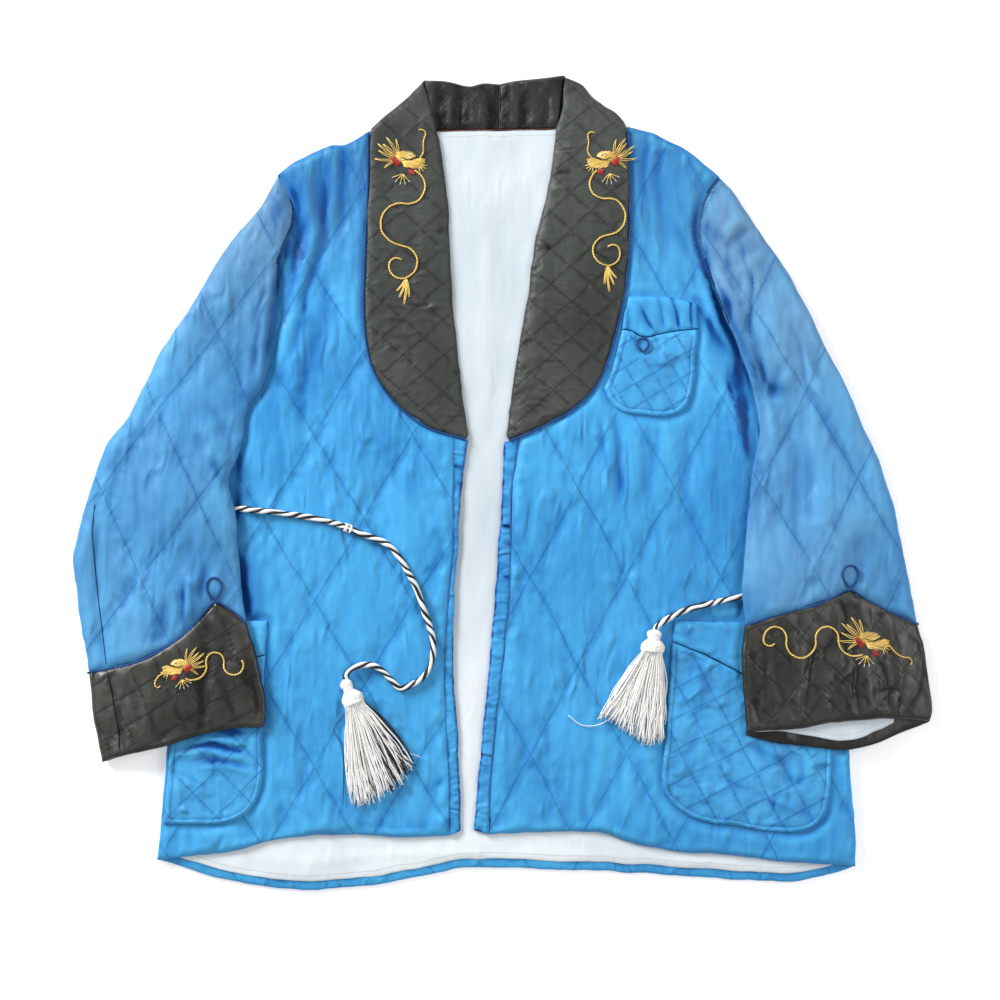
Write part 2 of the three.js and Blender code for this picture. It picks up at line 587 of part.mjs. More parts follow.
// The collar behind the neck: one half stands inside, folds over at its top edge and falls behind
const FOLD_DEPTH = 4;
const FOLD_SHARE = 0.97; // of the neck's width
const FOLD_SINK = 0.2; // the fold's top and bottom lie this far inside the two sheets that it joins
const STAND_TOP = ON_NECK + NECK_WALL;
const gathers = (x, y) => NECK_GATHERS.reduce((sum, g) => {
  const lean = 0.06 * (y - 375) * Math.sign(g.x);
  return sum + g.rise * Math.exp(-(((x - g.x - lean) / GATHER_HALF) ** 2));
}, 0);
const GATHER_LATTICE = { wide: GATHER_HALF, high: 9, x: 0, y: 375, turn: 0 };
const NECK_SEAM_Y = 354.6;
const NECK_CORNERS = { R: [-65.5, 353.6], L: [53.8, 355.6] };
for (const side of ["R", "L"]) {
  const e = EDGES[side];
  const neckCorner = NECK_CORNERS[side];
  const [seamX, seamTop] = e.neckTop[0];
  const middle = [seamX, NECK_SEAM_Y];
  const besideCollar = [...reversed(e.neckSide).slice(0, -1), neckCorner];
  const stand = outline(FINE_STEP, e.neckTop, besideCollar, [neckCorner, middle], [middle, [seamX, seamTop]]);
  const outerFall = side === "R" ? FALL_LOWER.slice(0, 4) : reversed(FALL_LOWER.slice(3));
  const centre = [[seamX, FALL_LOWER[3][1]], [seamX, seamTop]];
  const fall = outline(RIM_STEP, e.neckTop, e.collarShoulder, outerFall, centre);
  const foldTop = e.neckTop.map(([x, y]) => [x * FOLD_SHARE, y]);
  const foldLow = foldTop.map(([x, y]) => [x, y - FOLD_DEPTH]);
  const fold = outline(FINE_STEP, foldTop, [foldTop.at(-1), foldLow.at(-1)], reversed(foldLow));
  add(side === "R" ? "collar_right_neck" : "collar_left_neck", joined([
    wall({
      ring: stand,
      upper: quiltLattice(GATHER_LATTICE, 1, stand),
      clear: 2,
      bottom: () => ON_NECK,
      top: (x, y, d) => STAND_TOP + gathers(x, y) * Math.min(1, d / 5),
    }),
    wall({ ring: fall, upper: [], bottom: () => 0, top: () => NECK_WALL }),
    wall({ ring: fold, upper: [], bottom: () => FOLD_SINK, top: () => STAND_TOP - FOLD_SINK }),
  ]), NECK_BLACK, 0.35);
}

// Fronts, with the band along each front edge
const FRONT_PARTS = 5;
const BAND_PUCKER = 22; // between the puckers of a band
const BAND_PUFF = 0.6;
const BAND_WAVE = 0.5;
const BAND_RIM = 1.6; // that a band's top drops at its rim
for (const side of ["R", "L"]) {
  const e = EDGES[side];
  const c = covers[side];
  const word = side === "R" ? "right" : "left";
  const quilt = QUILTS[`front${side}`];
  const rings = [c.collar, c.sleeve, c.pocket, ...(c.chest ? [c.chest] : [])];
  const ring = outline(RIM_STEP, e.shoulder, e.armhole, e.underarm, coarse(e.side), e.hem, e.bandSeam,
    coarse(e.neckEdge), coarse([e.neckEdge.at(-1), e.shoulder[0]]));
  add(`front_${word}`, wall({
    ring,
    upper: quiltLattice(quilt, FRONT_PARTS, ring),
    bottom: () => FRONT_Z,
    top: (x, y, d) => {
      const free = open(x, y, rings);
      const relief = BODY_PUFF * quiltRise(quilt, x, y) + foldRise(FOLDS[`front${side}`], x, y);
      return FRONT_Z + FRONT_WALL * rounded(d) + free * Math.min(1, d / RIM_ROUND) * relief;
    },
  }), BLUE);
  const band = outline(RIM_STEP, e.bandTop, e.front, e.bandHem, e.bandSeam);
  const [bandX, bandY] = e.front[4];
  const puckers = { wide: BAND_PUCKER / 3, high: BAND_PUCKER / 2, x: bandX, y: bandY, turn: 0 };
  add(`front_band_${word}`, wall({
    ring: band,
    upper: quiltLattice(puckers, 1, band),
    clear: 3,
    bottom: () => FRONT_Z,
    top: (x, y, d) => {
      if (d <= 1) return FRONT_TOP - BAND_RIM;
      return FRONT_TOP + BAND_PUFF + BAND_WAVE * Math.sin((2 * Math.PI * (y + x)) / BAND_PUCKER);
    },
  }), BLUE);
}

// The turned-out fronts of the shawl collar: each rolls over the front's edge and lies on the front
const ROLL_WIDTH = 9;
const NECK_RISE = { from: 360, to: 394 };
const COLLAR_PARTS = 2;
const PIPING_POINTS = 24;
for (const side of ["R", "L"]) {
  const e = EDGES[side];
  const ring = covers[side].collar;
  const quilt = QUILTS[`collar${side}`];
  const roll = along(e.roll, FINE_STEP);
  const bottom = (x, y) => {
    const overEdge = FRONT_Z + (ON_FRONT - FRONT_Z) * Math.min(1, reach(x, y, roll, false) / ROLL_WIDTH);
    const behind = smooth((y - NECK_RISE.from) / (NECK_RISE.to - NECK_RISE.from));
    return THREE.MathUtils.lerp(overEdge, ON_NECK, behind);
  };
  add(side === "R" ? "collar_right" : "collar_left", wall({
    ring,
    upper: quiltLattice(quilt, COLLAR_PARTS, ring),
    lower: quiltLattice(quilt, COLLAR_PARTS, ring),
    clear: 0.5 * FINE_STEP,
    bottom,
    top: (x, y, d) => {
      const puff = COLLAR_PUFF * quiltRise(quilt, x, y) * Math.min(1, d / RIM_ROUND);
      return bottom(x, y) + COLLAR_WALL * rounded(d) + puff;
    },
  }), CHARCOAL, 0.5);
  const out = PIPING_RADIUS + 1.5 * SEAM;
  const edge = curve(e.collarOuter).getSpacedPoints(PIPING_POINTS);
  const outer = edge.map((p, i) => {
    const run = edge[Math.min(PIPING_POINTS, i + 1)].clone().sub(edge[Math.max(0, i - 1)]).normalize();
    const turn = side === "R" ? 1 : -1;
    return [p.x + turn * run.y * out, p.y - turn * run.x * out, ON_FRONT + PIPING_RADIUS];
  });
  const name = side === "R" ? "collar_piping_right" : "collar_piping_left";
  add(name, tube(outer.slice(1), PIPING_RADIUS, 5, 17), NAVY);
}

// Sleeves and cuffs: an under sheet on what lies beneath, and a top sheet from the same points
const CAP_LIFT = 3;
const CAP_FADE = 70;
const LIFTED = 0.6; // the share of a ridge that lifts the sheet's inside too
const SLEEVE_PARTS = 5;
const CUFF_PARTS = 2;
const LINING_SLACK = 0.9; // around the lining inside the cuff
const EVEN = 0.87; // the height of a triangle with equal sides
const even = (step) => ({ wide: step / 2, high: step * EVEN, x: 0, y: 0, turn: 0 });
const shared = (ring, step) => quiltLattice(even(step), 1, ring);
for (const side of ["R", "L"]) {
  const e = EDGES[side];
  const word = side === "R" ? "right" : "left";
  const floor = support(side);
  const quilt = QUILTS[`sleeve${side}`];
  const folds = FOLDS[`sleeve${side}`];
  const cap = along(e.armhole, RIM_STEP);
  const capLift = (x, y) => CAP_LIFT * smooth(1 - reach(x, y, cap, false) / CAP_FADE);
  const ring = outline(RIM_STEP, reversed(e.armhole), e.sleeveOuter, fine(e.cuffUpperOuter),
    fine(e.cuffUpperInner), reversed(e.sleeveInner));
  add(`sleeve_${word}_under`, wall({
    ring,
    upper: shared(ring, SLEEVE_LATTICE),
    lower: shared(ring, SLEEVE_LATTICE),
    bottom: floor,
    top: (x, y) => floor(x, y) + SLEEVE_UNDER_WALL,
  }), SLEEVE_BLUE);
  const inside = (x, y) => {
    const lift = capLift(x, y) + LIFTED * Math.max(0, foldRise(folds, x, y));
    return floor(x, y) + SLEEVE_UNDER_WALL + SEAM + lift;
  };
  add(`sleeve_${word}_top`, wall({
    ring,
    upper: quiltLattice(quilt, SLEEVE_PARTS, ring),
    lower: shared(ring, SLEEVE_LATTICE),
    bottom: inside,
    top: (x, y, d) => {
      const fold = foldRise(folds, x, y);
      const relief = BODY_PUFF * quiltRise(quilt, x, y) * Math.min(1, d / RIM_ROUND);
      return inside(x, y) + SLEEVE_TOP_WALL * rounded(d) + fold - LIFTED * Math.max(0, fold) + relief;
    },
  }), SLEEVE_BLUE);

  const cuffQuilt = QUILTS[`cuff${side}`];
  const cuffUpper = [e.cuffUpperOuter, e.cuffUpperInner, e.cuffInner];
  const underRing = outline(FINE_STEP, ...cuffUpper, e.cuffUnderLower, e.cuffOuter);
  const topRing = outline(FINE_STEP, ...cuffUpper, e.cuffLower, e.cuffOuter);
  add(`cuff_${word}_under`, wall({
    ring: underRing,
    upper: shared(underRing, CUFF_LATTICE),
    lower: shared(underRing, CUFF_LATTICE),
    bottom: floor,
    top: (x, y) => floor(x, y) + CUFF_UNDER_WALL,
  }), CHARCOAL, 0.5);
  const lined = side === "L" ? CUFF_LINING_WALL + 2 * LINING_SLACK + SEAM : 0;
  const cuffInside = (x, y) => floor(x, y) + CUFF_UNDER_WALL + SEAM + lined;
  add(`cuff_${word}_top`, wall({
    ring: topRing,
    upper: quiltLattice(cuffQuilt, CUFF_PARTS, topRing),
    lower: shared(topRing, CUFF_LATTICE),
    clear: 0.5 * FINE_STEP,
    bottom: cuffInside,
    top: (x, y, d) => {
      const puff = CUFF_PUFF * quiltRise(cuffQuilt, x, y) * Math.min(1, d / RIM_ROUND);
      return cuffInside(x, y) + CUFF_TOP_WALL * rounded(d) + puff;
    },
  }), CHARCOAL, 0.5);
}

// The white lining of the wearer's left cuff, which shows past the top layer
const LINING_MOUTH = [[246, -226], [246, -246], [278, -248], [302, -252], [348, -256], [369, -249],
  [392, -238], [394, -216]];
const cuffLiningRing = outline(CUFF_LATTICE, LINING_MOUTH, [LINING_MOUTH.at(-1), LINING_MOUTH[0]]);
const leftFloor = support("L");
const onCuffUnder = (x, y) => leftFloor(x, y) + CUFF_UNDER_WALL + SEAM + LINING_SLACK;
add("cuff_lining_left", wall({
  ring: cuffLiningRing,
  upper: shared(cuffLiningRing, CUFF_LATTICE),
  lower: shared(cuffLiningRing, CUFF_LATTICE),
  bottom: onCuffUnder,
  top: (x, y) => onCuffUnder(x, y) + CUFF_LINING_WALL,
}), WHITE, 0.7);

// Patch pockets and the chest pocket, each with its own band along the top
function pocket(name, ring, quilt, parts, folds, shades) {
  add(name, wall({
    ring,
    upper: quiltLattice(quilt, parts, ring),
    clear: 0.4 * FINE_STEP,
    bottom: () => ON_FRONT,
    top: (x, y, d) => {
      const relief = POCKET_PUFF * quiltRise(quilt, x, y) + foldRise(folds, x, y);
      return ON_FRONT + POCKET_WALL * rounded(d) + open(x, y, shades) * Math.min(1, d / RIM_ROUND) * relief;
    },
  }), BLUE);
}

const BAND_RIPPLE = 0.8;
const RIPPLE_SLANT = 0.35;
function pocketBand(name, ring, gather, shades) {
  add(name, wall({
    ring,
    upper: quiltLattice({ wide: gather / 2, high: gather / 2, x: ring[0].x, y: ring[0].y, turn: 0 }, 1, ring),
    clear: 3,
    bottom: () => ON_FRONT,
    top: (x, y, d) => {
      const ripple = BAND_RIPPLE * (1 + Math.sin((Math.PI * (x + RIPPLE_SLANT * y)) / gather));
      return ON_FRONT + POCKET_WALL * rounded(d) + open(x, y, shades) * Math.min(1, d / RIM_ROUND) * ripple;
    },
  }), BLUE);
}

const POCKET_PARTS = 2;
const BAND_GATHER = 11;
for (const side of ["R", "L"]) {
  const e = EDGES[side];
  const word = side === "R" ? "right" : "left";
  const main = outline(RIM_STEP, e.pocketInner.slice(1), e.pocketHem, e.pocketOuter, e.pocketBand);
  const band = outline(RIM_STEP, e.pocketBand, reversed(e.pocketInner.slice(0, 2)), reversed(e.pocketTop),
    reversed(e.pocketBandOuter));
  const shades = [covers[side].sleeve];
  const folds = FOLDS[`pocket${side}`];
  pocket(`patch_pocket_${word}`, main, QUILTS[`pocket${side}`], POCKET_PARTS, folds, shades);
  pocketBand(`patch_pocket_band_${word}`, band, BAND_GATHER, shades);
}
const CHEST_PARTS = 2;
const chestMain = outline(FINE_STEP, CHEST.body, CHEST.collarSide, reversed(CHEST.band));
const chestBand = outline(FINE_STEP, CHEST.top, CHEST.outer, CHEST.band, CHEST.inner);
pocket("chest_pocket", chestMain, QUILTS.chest, CHEST_PARTS, [], []);
pocketBand("chest_pocket_band", chestBand, BAND_GATHER, []);

// Cord trim: the cuffs' upper edges, a loop on each cuff's point and one on the chest pocket
const HALF_LOOP = [[0.12, 0], [0.42, 0.35], [0.5, 0.7], [0.22, 1]]; // shares of its width and height
function loop(name, { x, y, width, height, drop }, surface) {
  const left = HALF_LOOP.map(([across, up]) => [x - across * width, y + up * height]);
  const right = HALF_LOOP.map(([across, up]) => [x + across * width, y + up * height]);
  const feet = (py) => (py === y ? drop : 0);
  const rows = [...left, ...reversed(right)].map(([px, py]) => [px, py, surface(px, py) - feet(py)]);
  add(name, tube(rows, LOOP_RADIUS, 5, 7), NAVY);
}

const LOOPS = {
  R: { x: -286.5, y: -116, width: 15, height: 21, drop: 3.6 }, // how far its feet drop to the piping
  L: { x: 347, y: -104, width: 16, height: 21, drop: 0.9 },
  chest: { x: 141, y: 131, width: 11, height: 13, drop: 0 },
};
const LOOP_LIFT = 0.7;
const CHEST_LOOP_LIFT = 0.4;
const PIPING_OUT = 1.7;
const PUFFED = SLEEVE_UNDER_WALL + SLEEVE_TOP_WALL + 2 * SEAM + BODY_PUFF + PIPING_RADIUS;
const PIPING_LIFT = { R: PUFFED - 2.7, L: PUFFED }; // the right cuff's upper edge lies flatter
for (const side of ["R", "L"]) {
  const e = EDGES[side];
  const word = side === "R" ? "right" : "left";
  const floor = support(side);
  const upper = [...e.cuffUpperOuter, ...e.cuffUpperInner.slice(1)];
  const piping = along(upper, RIM_STEP).map(({ x, y }) => [x, y + PIPING_OUT, floor(x, y) + PIPING_LIFT[side]]);
  add(`cuff_piping_${word}`, tube(piping, PIPING_RADIUS, 5, RIM_STEP), NAVY);
  loop(`cuff_loop_${word}`, LOOPS[side], (x, y) => floor(x, y) + PUFFED + LOOP_LIFT);
}
loop("chest_loop", LOOPS.chest, () => ON_POCKET + CHEST_LOOP_LIFT + LOOP_RADIUS);

// The belt cord, caught in each side seam under the sleeve, with a tassel on each end
const HEAD_FLAT = 0.6; // the share of its width that a tassel's head is high
const HEAD_SIDES = 12;
const SKIRT_SPREAD = 0.75; // the share of the skirt's width where strands start
const STRAND_SWAY = 2.2;
const SHORTER = 0.05; // of a strand's length, from one length to the next

// A head in profile: shares of the neck's width, then of the skirt's, against the share of its length
function headProfile(neck, skirt, length) {
  const rows = [[0, 0], [0.28 * neck, 0], [0.5 * neck, 0.15], [0.5 * neck, 0.35], [0.42 * neck, 0.42],
    [0.5 * skirt, 0.7], [0.5 * skirt, 1], [0, 1]];
  return rows.map(([radius, share]) => new THREE.Vector2(radius, share * length));
}

function tassel(name, { top, foot, neck, skirt, from, mid, to }) {
  const axis = new THREE.Vector2(foot[0] - top[0], foot[1] - top[1]);
  const rise = ON_PUFF + 0.5 * skirt * HEAD_FLAT;
  const head = new THREE.LatheGeometry(headProfile(neck, skirt, axis.length()), HEAD_SIDES);
  head.scale(1, 1, HEAD_FLAT);
  head.rotateZ(axis.angle() - Math.PI / 2);
  head.translate(top[0], top[1], rise);
  const square = new THREE.Vector2(-axis.y, axis.x).normalize();
  const fanRun = new THREE.Vector2(to[0] - from[0], to[1] - from[1]);
  const across = square.multiplyScalar(Math.sign(square.dot(fanRun)));
  const fan = curve([from, mid, to]);
  const strands = [];
  for (let row = 0; row < STRAND_ROWS; row++) {
    const rootZ = rise + (row - 1) * ROW_GAP;
    const endZ = ON_PUFF + STRAND_RADIUS + row * ROW_GAP;
    for (let i = 0; i < STRANDS_IN_ROW; i++) {
      const share = (i + 0.5 + 0.25 * (row - 1)) / STRANDS_IN_ROW;
      const end = fan.getPoint(share);
      const root = new THREE.Vector2(...foot);
      root.addScaledVector(across, (share - 0.5) * SKIRT_SPREAD * skirt);
      const start = root.clone().addScaledVector(axis, -0.3);
      const kept = 1 - SHORTER * ((i * 5 + row * 3) % 4);
      const sway = STRAND_SWAY * Math.sin(2.1 * i + 1.7 * row);
      const point = (s) => [
        root.x + (end.x - root.x) * s * kept + across.x * sway * Math.sin(Math.PI * s),
        root.y + (end.y - root.y) * s * kept + across.y * sway * Math.sin(Math.PI * s),
        rootZ + (endZ - rootZ) * Math.sqrt(s),
      ];
      const rows = [[start.x, start.y, rootZ], point(0.05), point(0.35), point(0.7), point(1)];
      strands.push(tube(rows, STRAND_RADIUS, 3, 34));
    }
  }
  add(name, joined([head, ...strands]), THREAD, 0.6);
}

for (const side of ["R", "L"]) {
  const word = side === "R" ? "right" : "left";
  const { hidden, open: shown, end } = CORDS[side];
  const route = [
    ...hidden.map(([x, y]) => [x, y, UNDER_SLEEVE]),
    ...shown.map(([x, y]) => [x, y, OPEN_CORD]),
    [...end, OPEN_CORD + END_LIFT],
  ];
  add(`belt_cord_${word}`, tube(route, CORD_RADIUS, 8, CORD_STEP), THREAD, 0.6);
  tassel(`belt_tassel_${word}`, TASSELS[side]);
}

export default robe;
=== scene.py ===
import math

import bpy
import numpy as np
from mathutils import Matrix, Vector, kdtree
from mathutils.bvhtree import BVHTree
from mathutils.geometry import delaunay_2d_cdt


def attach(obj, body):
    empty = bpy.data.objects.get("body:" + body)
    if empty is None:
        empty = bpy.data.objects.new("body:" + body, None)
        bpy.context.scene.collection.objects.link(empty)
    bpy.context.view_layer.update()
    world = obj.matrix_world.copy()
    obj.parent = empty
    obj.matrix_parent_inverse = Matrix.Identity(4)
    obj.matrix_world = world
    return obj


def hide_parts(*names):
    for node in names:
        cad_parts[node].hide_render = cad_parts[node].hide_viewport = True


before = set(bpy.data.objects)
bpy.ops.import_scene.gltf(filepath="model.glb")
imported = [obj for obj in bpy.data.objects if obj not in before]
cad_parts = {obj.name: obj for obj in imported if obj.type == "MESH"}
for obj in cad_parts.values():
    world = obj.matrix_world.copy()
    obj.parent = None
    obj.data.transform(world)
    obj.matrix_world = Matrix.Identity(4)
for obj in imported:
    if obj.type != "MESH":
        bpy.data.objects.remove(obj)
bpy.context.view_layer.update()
MM = 0.001

# ---- Camera: straight above, one metre of the table across the picture ----
CENTRE = (-2.0, -17.0)
CAMERA_HEIGHT = 2400.0
PICTURE_WIDTH = 1000.0
camera_data = bpy.data.cameras.new("camera")
camera = bpy.data.objects.new("camera", camera_data)
camera.location = (CENTRE[0] * MM, CENTRE[1] * MM, CAMERA_HEIGHT * MM)
camera_data.sensor_width = 36.0
camera_data.lens = 36.0 * (CAMERA_HEIGHT - 10.0) / PICTURE_WIDTH
camera_data.clip_start = 0.01
camera_data.clip_end = 50.0
bpy.context.scene.collection.objects.link(camera)
bpy.context.scene.camera = camera

# ---- Tables, in millimetres ----
SIDES = ("right", "left")
FRONT_FLOOR = 5.6
LINING_FLOOR = 4.3
POCKET_FLOOR = 9.9
PIPING_LEVEL = 11.1
HEM_SEAM = -336
TASSEL_STRANDS = 165
UNDER_SLEEVE = 13.1
OPEN_CORD = 15.1
CORD_HIDDEN = {
    "right": [(-308, -22), (-290, -23), (-266, -25)],
    "left": [(328, -44), (313, -67), (293, -87), (268, -104), (237, -114)],
}
CORD_OPEN = {
    "right": [(-248, -27), (-228, -29), (-195, -34), (-179, -37), (-154, -45), (-137, -52), (-123, -57),
              (-112, -63), (-103, -74), (-90, -96), (-82, -114), (-77, -130), (-72, -143), (-69, -159),
              (-70, -177), (-77, -192), (-88, -200), (-101, -205), (-110, -197), (-119, -188),
              (-130, -182), (-141, -182), (-150, -186)],
    "left": [(221, -117), (205, -121), (189, -125), (176, -130), (168, -134), (160, -139)],
}
CORD_END = {"right": [(-156, -193, 15.7), (-151, -207, 16.5)],
            "left": [(154, -144, 15.7), (151.5, -154, 16.5)]}

# Quilting: half a diamond wide and high, a crossing, and the turn in degrees
QUILTS = {
    "front_right": (50, 83, -188, -119, 0), "front_left": (48, 89, 76, -5, 0),
    "sleeve_right": (50, 84, -284, 150, -6.3), "sleeve_left": (48, 88, 302, 90, 3),
    "collar_right": (20, 18, -79, 145, 0), "collar_left": (20, 18, 70, 145, 0),
    "cuff_right": (17, 20, -330, -215, -17), "cuff_left": (17, 20, 335, -190, 4),
    "pocket_right": (24, 24, -285, -285, 0), "pocket_left": (19.8, 19.8, 240, -265, -17),
    "chest": (14, 14, 150, 110, -14), "back": (50, 85, 0, 0, 0),
}

# Folds, a row each: the x and y of each point on its line, half width, rise (a trough is below 0)
FOLDS = {
    "front_right": [
        (-206, 300, -204, 262, -212, 214, -232, 150, 5, -2.2),
        (-194, 306, -190, 256, -200, 200, -220, 130, 5, 2.2),
        (-184, 306, -180, 250, -192, 190, -214, 120, 4, -1.6), (-159, 334, -162, 280, -168, 235, 7, -1.7),
        (-177, 333, -177, 290, -180, 240, 6, -1.3), (-168, 334, -170, 285, -173, 240, 5, 1.2),
        (-200, 318, -192, 270, -186, 225, 9, 1.6), (-177, 200, -190, 130, -207, 50, 12, -1.9),
        (-194, 205, -199, 140, -215, 60, 9, 1.7), (-215, 200, -212, 130, -205, 60, 12, 2.0),
        (-216, 296, -212, 262, -214, 236, 6, -1.8), (-228, 215, -240, 165, -252, 120, 7, -1.8),
        (-150, 60, -156, 0, -150, -60, 13, 1.1), (-120, 20, -123, -60, -118, -150, 12, -0.9),
        (-98, 5, -96, -60, -90, -90, 9, 0.9), (-215, -60, -208, -110, -200, -170, 10, 1.2),
        (-200, -200, -196, -260, -200, -320, 10, -1.1), (-160, -220, -158, -270, -150, -330, 9, 1.0),
        (-100, -230, -96, -280, -99, -335, 8, -1.0), (-120, -300, -122, -330, -125, -348, 6, 1.2),
        (-175, -300, -178, -330, -182, -350, 6, 1.2), (-72, -290, -74, -320, -78, -350, 6, -1.1),
        (-223, -300, -226, -330, -228, -354, 6, -1.0),
    ],
    "front_left": [
        (141, 345, 146, 290, 150, 250, 6, -1.3), (156, 342, 160, 290, 160, 215, 7, -1.7),
        (150, 340, 154, 280, 154, 220, 5, 1.2), (174, 262, 182, 238, 196, 212, 6, -1.8),
        (186, 300, 184, 255, 182, 210, 9, 1.8), (190, 240, 206, 185, 230, 120, 8, 4.5),
        (203, 205, 222, 150, 243, 92, 6, -2.4), (208, 150, 224, 110, 240, 70, 7, -2.0),
        (222, 95, 234, 60, 246, 25, 8, 3.0), (196, 150, 204, 100, 212, 40, 7, 1.6),
        (115, 60, 117, 20, 118, -20, 7, -1.6), (102, 66, 106, 30, 104, -10, 6, 1.3),
        (133, 60, 134, 15, 135, -30, 8, 1.6), (150, 62, 152, 20, 150, -20, 7, -1.2),
        (168, 60, 170, 10, 165, -60, 9, 1.4), (186, 66, 190, 10, 188, -70, 8, -1.3),
        (204, 30, 206, -30, 210, -100, 9, 1.2), (40, 20, 46, -50, 60, -110, 11, 0.9),
        (30, -160, 42, -230, 48, -330, 12, -1.0), (90, -60, 96, -130, 100, -200, 11, -0.8),
        (130, -240, 132, -290, 128, -345, 8, 1.2), (86, -270, 84, -310, 80, -345, 7, -1.1),
        (225, -345, 222, -355, 220, -370, 5, 1.0), (50, -300, 52, -325, 54, -348, 6, 1.3),
    ],
    "sleeve_right": [
        (-408, -20, -410, -49, -408, -77, -404, -116, -396, -182, 4, -1.3),
        (-222, 215, -229, 160, -236, 100, 8, 3.4), (-232, 210, -242, 160, -250, 100, 5, -1.8),
        (-262, 170, -262, 110, -258, 60, 11, -1.6), (-270, 5, -284, 34, -300, 60, 10, 3.0),
        (-264, 24, -278, 50, -292, 80, 6, -1.3), (-335, -120, -342, -140, -352, -165, 8, -1.7),
        (-300, -90, -307, -112, -316, -138, 7, 2.2), (-365, -90, -372, -108, -382, -125, 10, -1.4),
        (-316, -106, -321, -128, -326, -146, 5, -1.7), (-290, -86, -297, -105, -299, -122, 5, -1.6),
        (-308, -100, -312, -118, -315, -136, 4, 1.4), (-276, -70, -281, -92, -285, -108, 6, 1.4),
        (-290, 270, -300, 225, -318, 180, 12, 1.2), (-240, 292, -258, 262, -280, 232, 8, -1.1),
        (-320, 60, -336, 20, -352, -30, 13, 1.3), (-300, -10, -312, -50, -318, -90, 10, -1.0),
        (-380, 40, -394, -10, -402, -60, 10, 1.2), (-360, -20, -372, -60, -384, -110, 9, -0.9),
    ],
    "sleeve_left": [
        (214, 214, 222, 190, 232, 164, 3.5, 2.6), (262, 100, 268, 70, 272, 44, 4, 2.6),
        (300, 130, 318, 92, 332, 60, 4, 1.8), (310, 96, 330, 56, 344, 26, 3.5, -1.5),
        (286, 150, 300, 116, 310, 84, 3.5, -1.4), (244, 236, 246, 190, 243, 150, 2.2, -1.2),
        (228, 165, 239, 130, 250, 95, 7, 5.0), (240, 168, 254, 128, 266, 85, 5, -2.4),
        (262, 160, 273, 130, 285, 100, 9, 3.6), (276, 120, 272, 104, 268, 88, 6, -2.4),
        (226, 245, 236, 258, 246, 272, 8, 2.4), (226, 232, 240, 246, 256, 256, 5, -1.7),
        (228, 205, 246, 215, 266, 232, 6, 1.6), (290, 60, 292, -10, 290, -70, 11, -1.7),
        (315, 50, 320, -20, 322, -80, 12, 2.3), (264, 40, 264, -10, 262, -60, 9, 1.8),
        (276, 60, 280, 0, 276, -60, 6, 1.1), (302, 90, 306, 30, 304, -50, 6, -1.2),
        (240, 280, 262, 246, 286, 205, 9, -1.1), (250, 270, 276, 230, 300, 180, 8, 1.2),
        (340, 60, 352, 0, 360, -70, 11, -1.0), (366, 30, 380, -30, 390, -90, 9, 1.2),
        (350, -50, 352, -80, 350, -100, 6, -1.4), (330, -50, 334, -80, 336, -104, 6, 1.2),
    ],
    "pocket_right": [
        (-318, -258, -292, -254, -262, -262, 3, 1.8), (-310, -264, -286, -261, -256, -270, 2.4, -1.6),
        (-322, -272, -292, -268, -258, -278, 3, 1.6), (-306, -279, -284, -276, -252, -286, 2.4, -1.3),
        (-300, -287, -276, -285, -246, -294, 3, 1.1), (-326, -290, -308, -296, -290, -308, 3, -1.0),
        (-300, -200, -290, -230, -286, -250, 7, -0.7),
    ],
    "pocket_left": [
        (250, -262, 272, -282, 300, -298, 8, -1.1), (290, -250, 305, -275, 318, -300, 6, 0.9),
        (200, -180, 196, -230, 204, -280, 9, 0.8), (256, -300, 276, -318, 296, -330, 6, 0.9),
    ],
    "chest": [
        (140, 140, 146, 110, 140, 80, 8, 0.6), (176, 130, 172, 105, 178, 84, 7, -0.6),
    ],
    "collar_right": [
        (-64, 320, -56, 322, -50, 324, 3, -1.2), (-70, 300, -60, 303, -51, 304, 3.5, 0.9),
        (-66, 252, -58, 255, -50, 256, 3, -1.0), (-62, 236, -54, 240, -46, 240, 3, 0.8),
        (-60, 180, -52, 184, -46, 184, 3, -0.9), (-52, 110, -44, 112, -38, 112, 3, -0.9),
    ],
    "collar_left": [
        (66, 312, 56, 310, 48, 309, 3, -1.1), (62, 294, 52, 291, 44, 288, 3, 0.9),
        (52, 238, 42, 236, 32, 234, 3, -1.0), (42, 190, 34, 188, 26, 186, 3, 0.8),
        (32, 140, 25, 138, 18, 136, 3, -0.9), (24, 96, 18, 94, 10, 92, 3, -0.8),
    ],
    "cuff_right": [
        (-395, -188, -387, -224, -381, -268, 4, -1.2), (-296, -128, -300, -190, -303, -262, 7, -1.6),
        (-262, -140, -262, -190, -262, -240, 6, 1.4), (-350, -185, -356, -220, -362, -262, 7, 1.2),
        (-284, -128, -286, -190, -290, -256, 6, 1.5), (-326, -150, -334, -210, -341, -272, 8, -0.8),
        (-376, -200, -366, -226, -360, -250, 5, -1.0),
    ],
    "cuff_left": [
        (290, -140, 292, -190, 290, -240, 6, 1.3), (336, -118, 337, -150, 335, -182, 4, -2.4),
        (392, -140, 396, -190, 398, -232, 7, 1.2), (350, -180, 348, -206, 352, -232, 4, -2.6),
        (360, -184, 363, -206, 366, -230, 4, 2.0), (325, -170, 318, -196, 320, -226, 6, 1.6),
        (306, -150, 304, -186, 300, -222, 4, -1.4), (376, -176, 380, -200, 384, -228, 4, -1.4),
        (414, -150, 418, -186, 422, -222, 4, -1.0), (262, -160, 258, -190, 260, -226, 5, -0.9),
    ],
    "lining": [
        (-20, 330, -14, 200, -18, 60, 9, 0.7), (20, 320, 8, 190, -6, 60, 8, -0.6),
        (-300, -380, 0, -372, 300, -386, 6, 0.6),
    ],
}

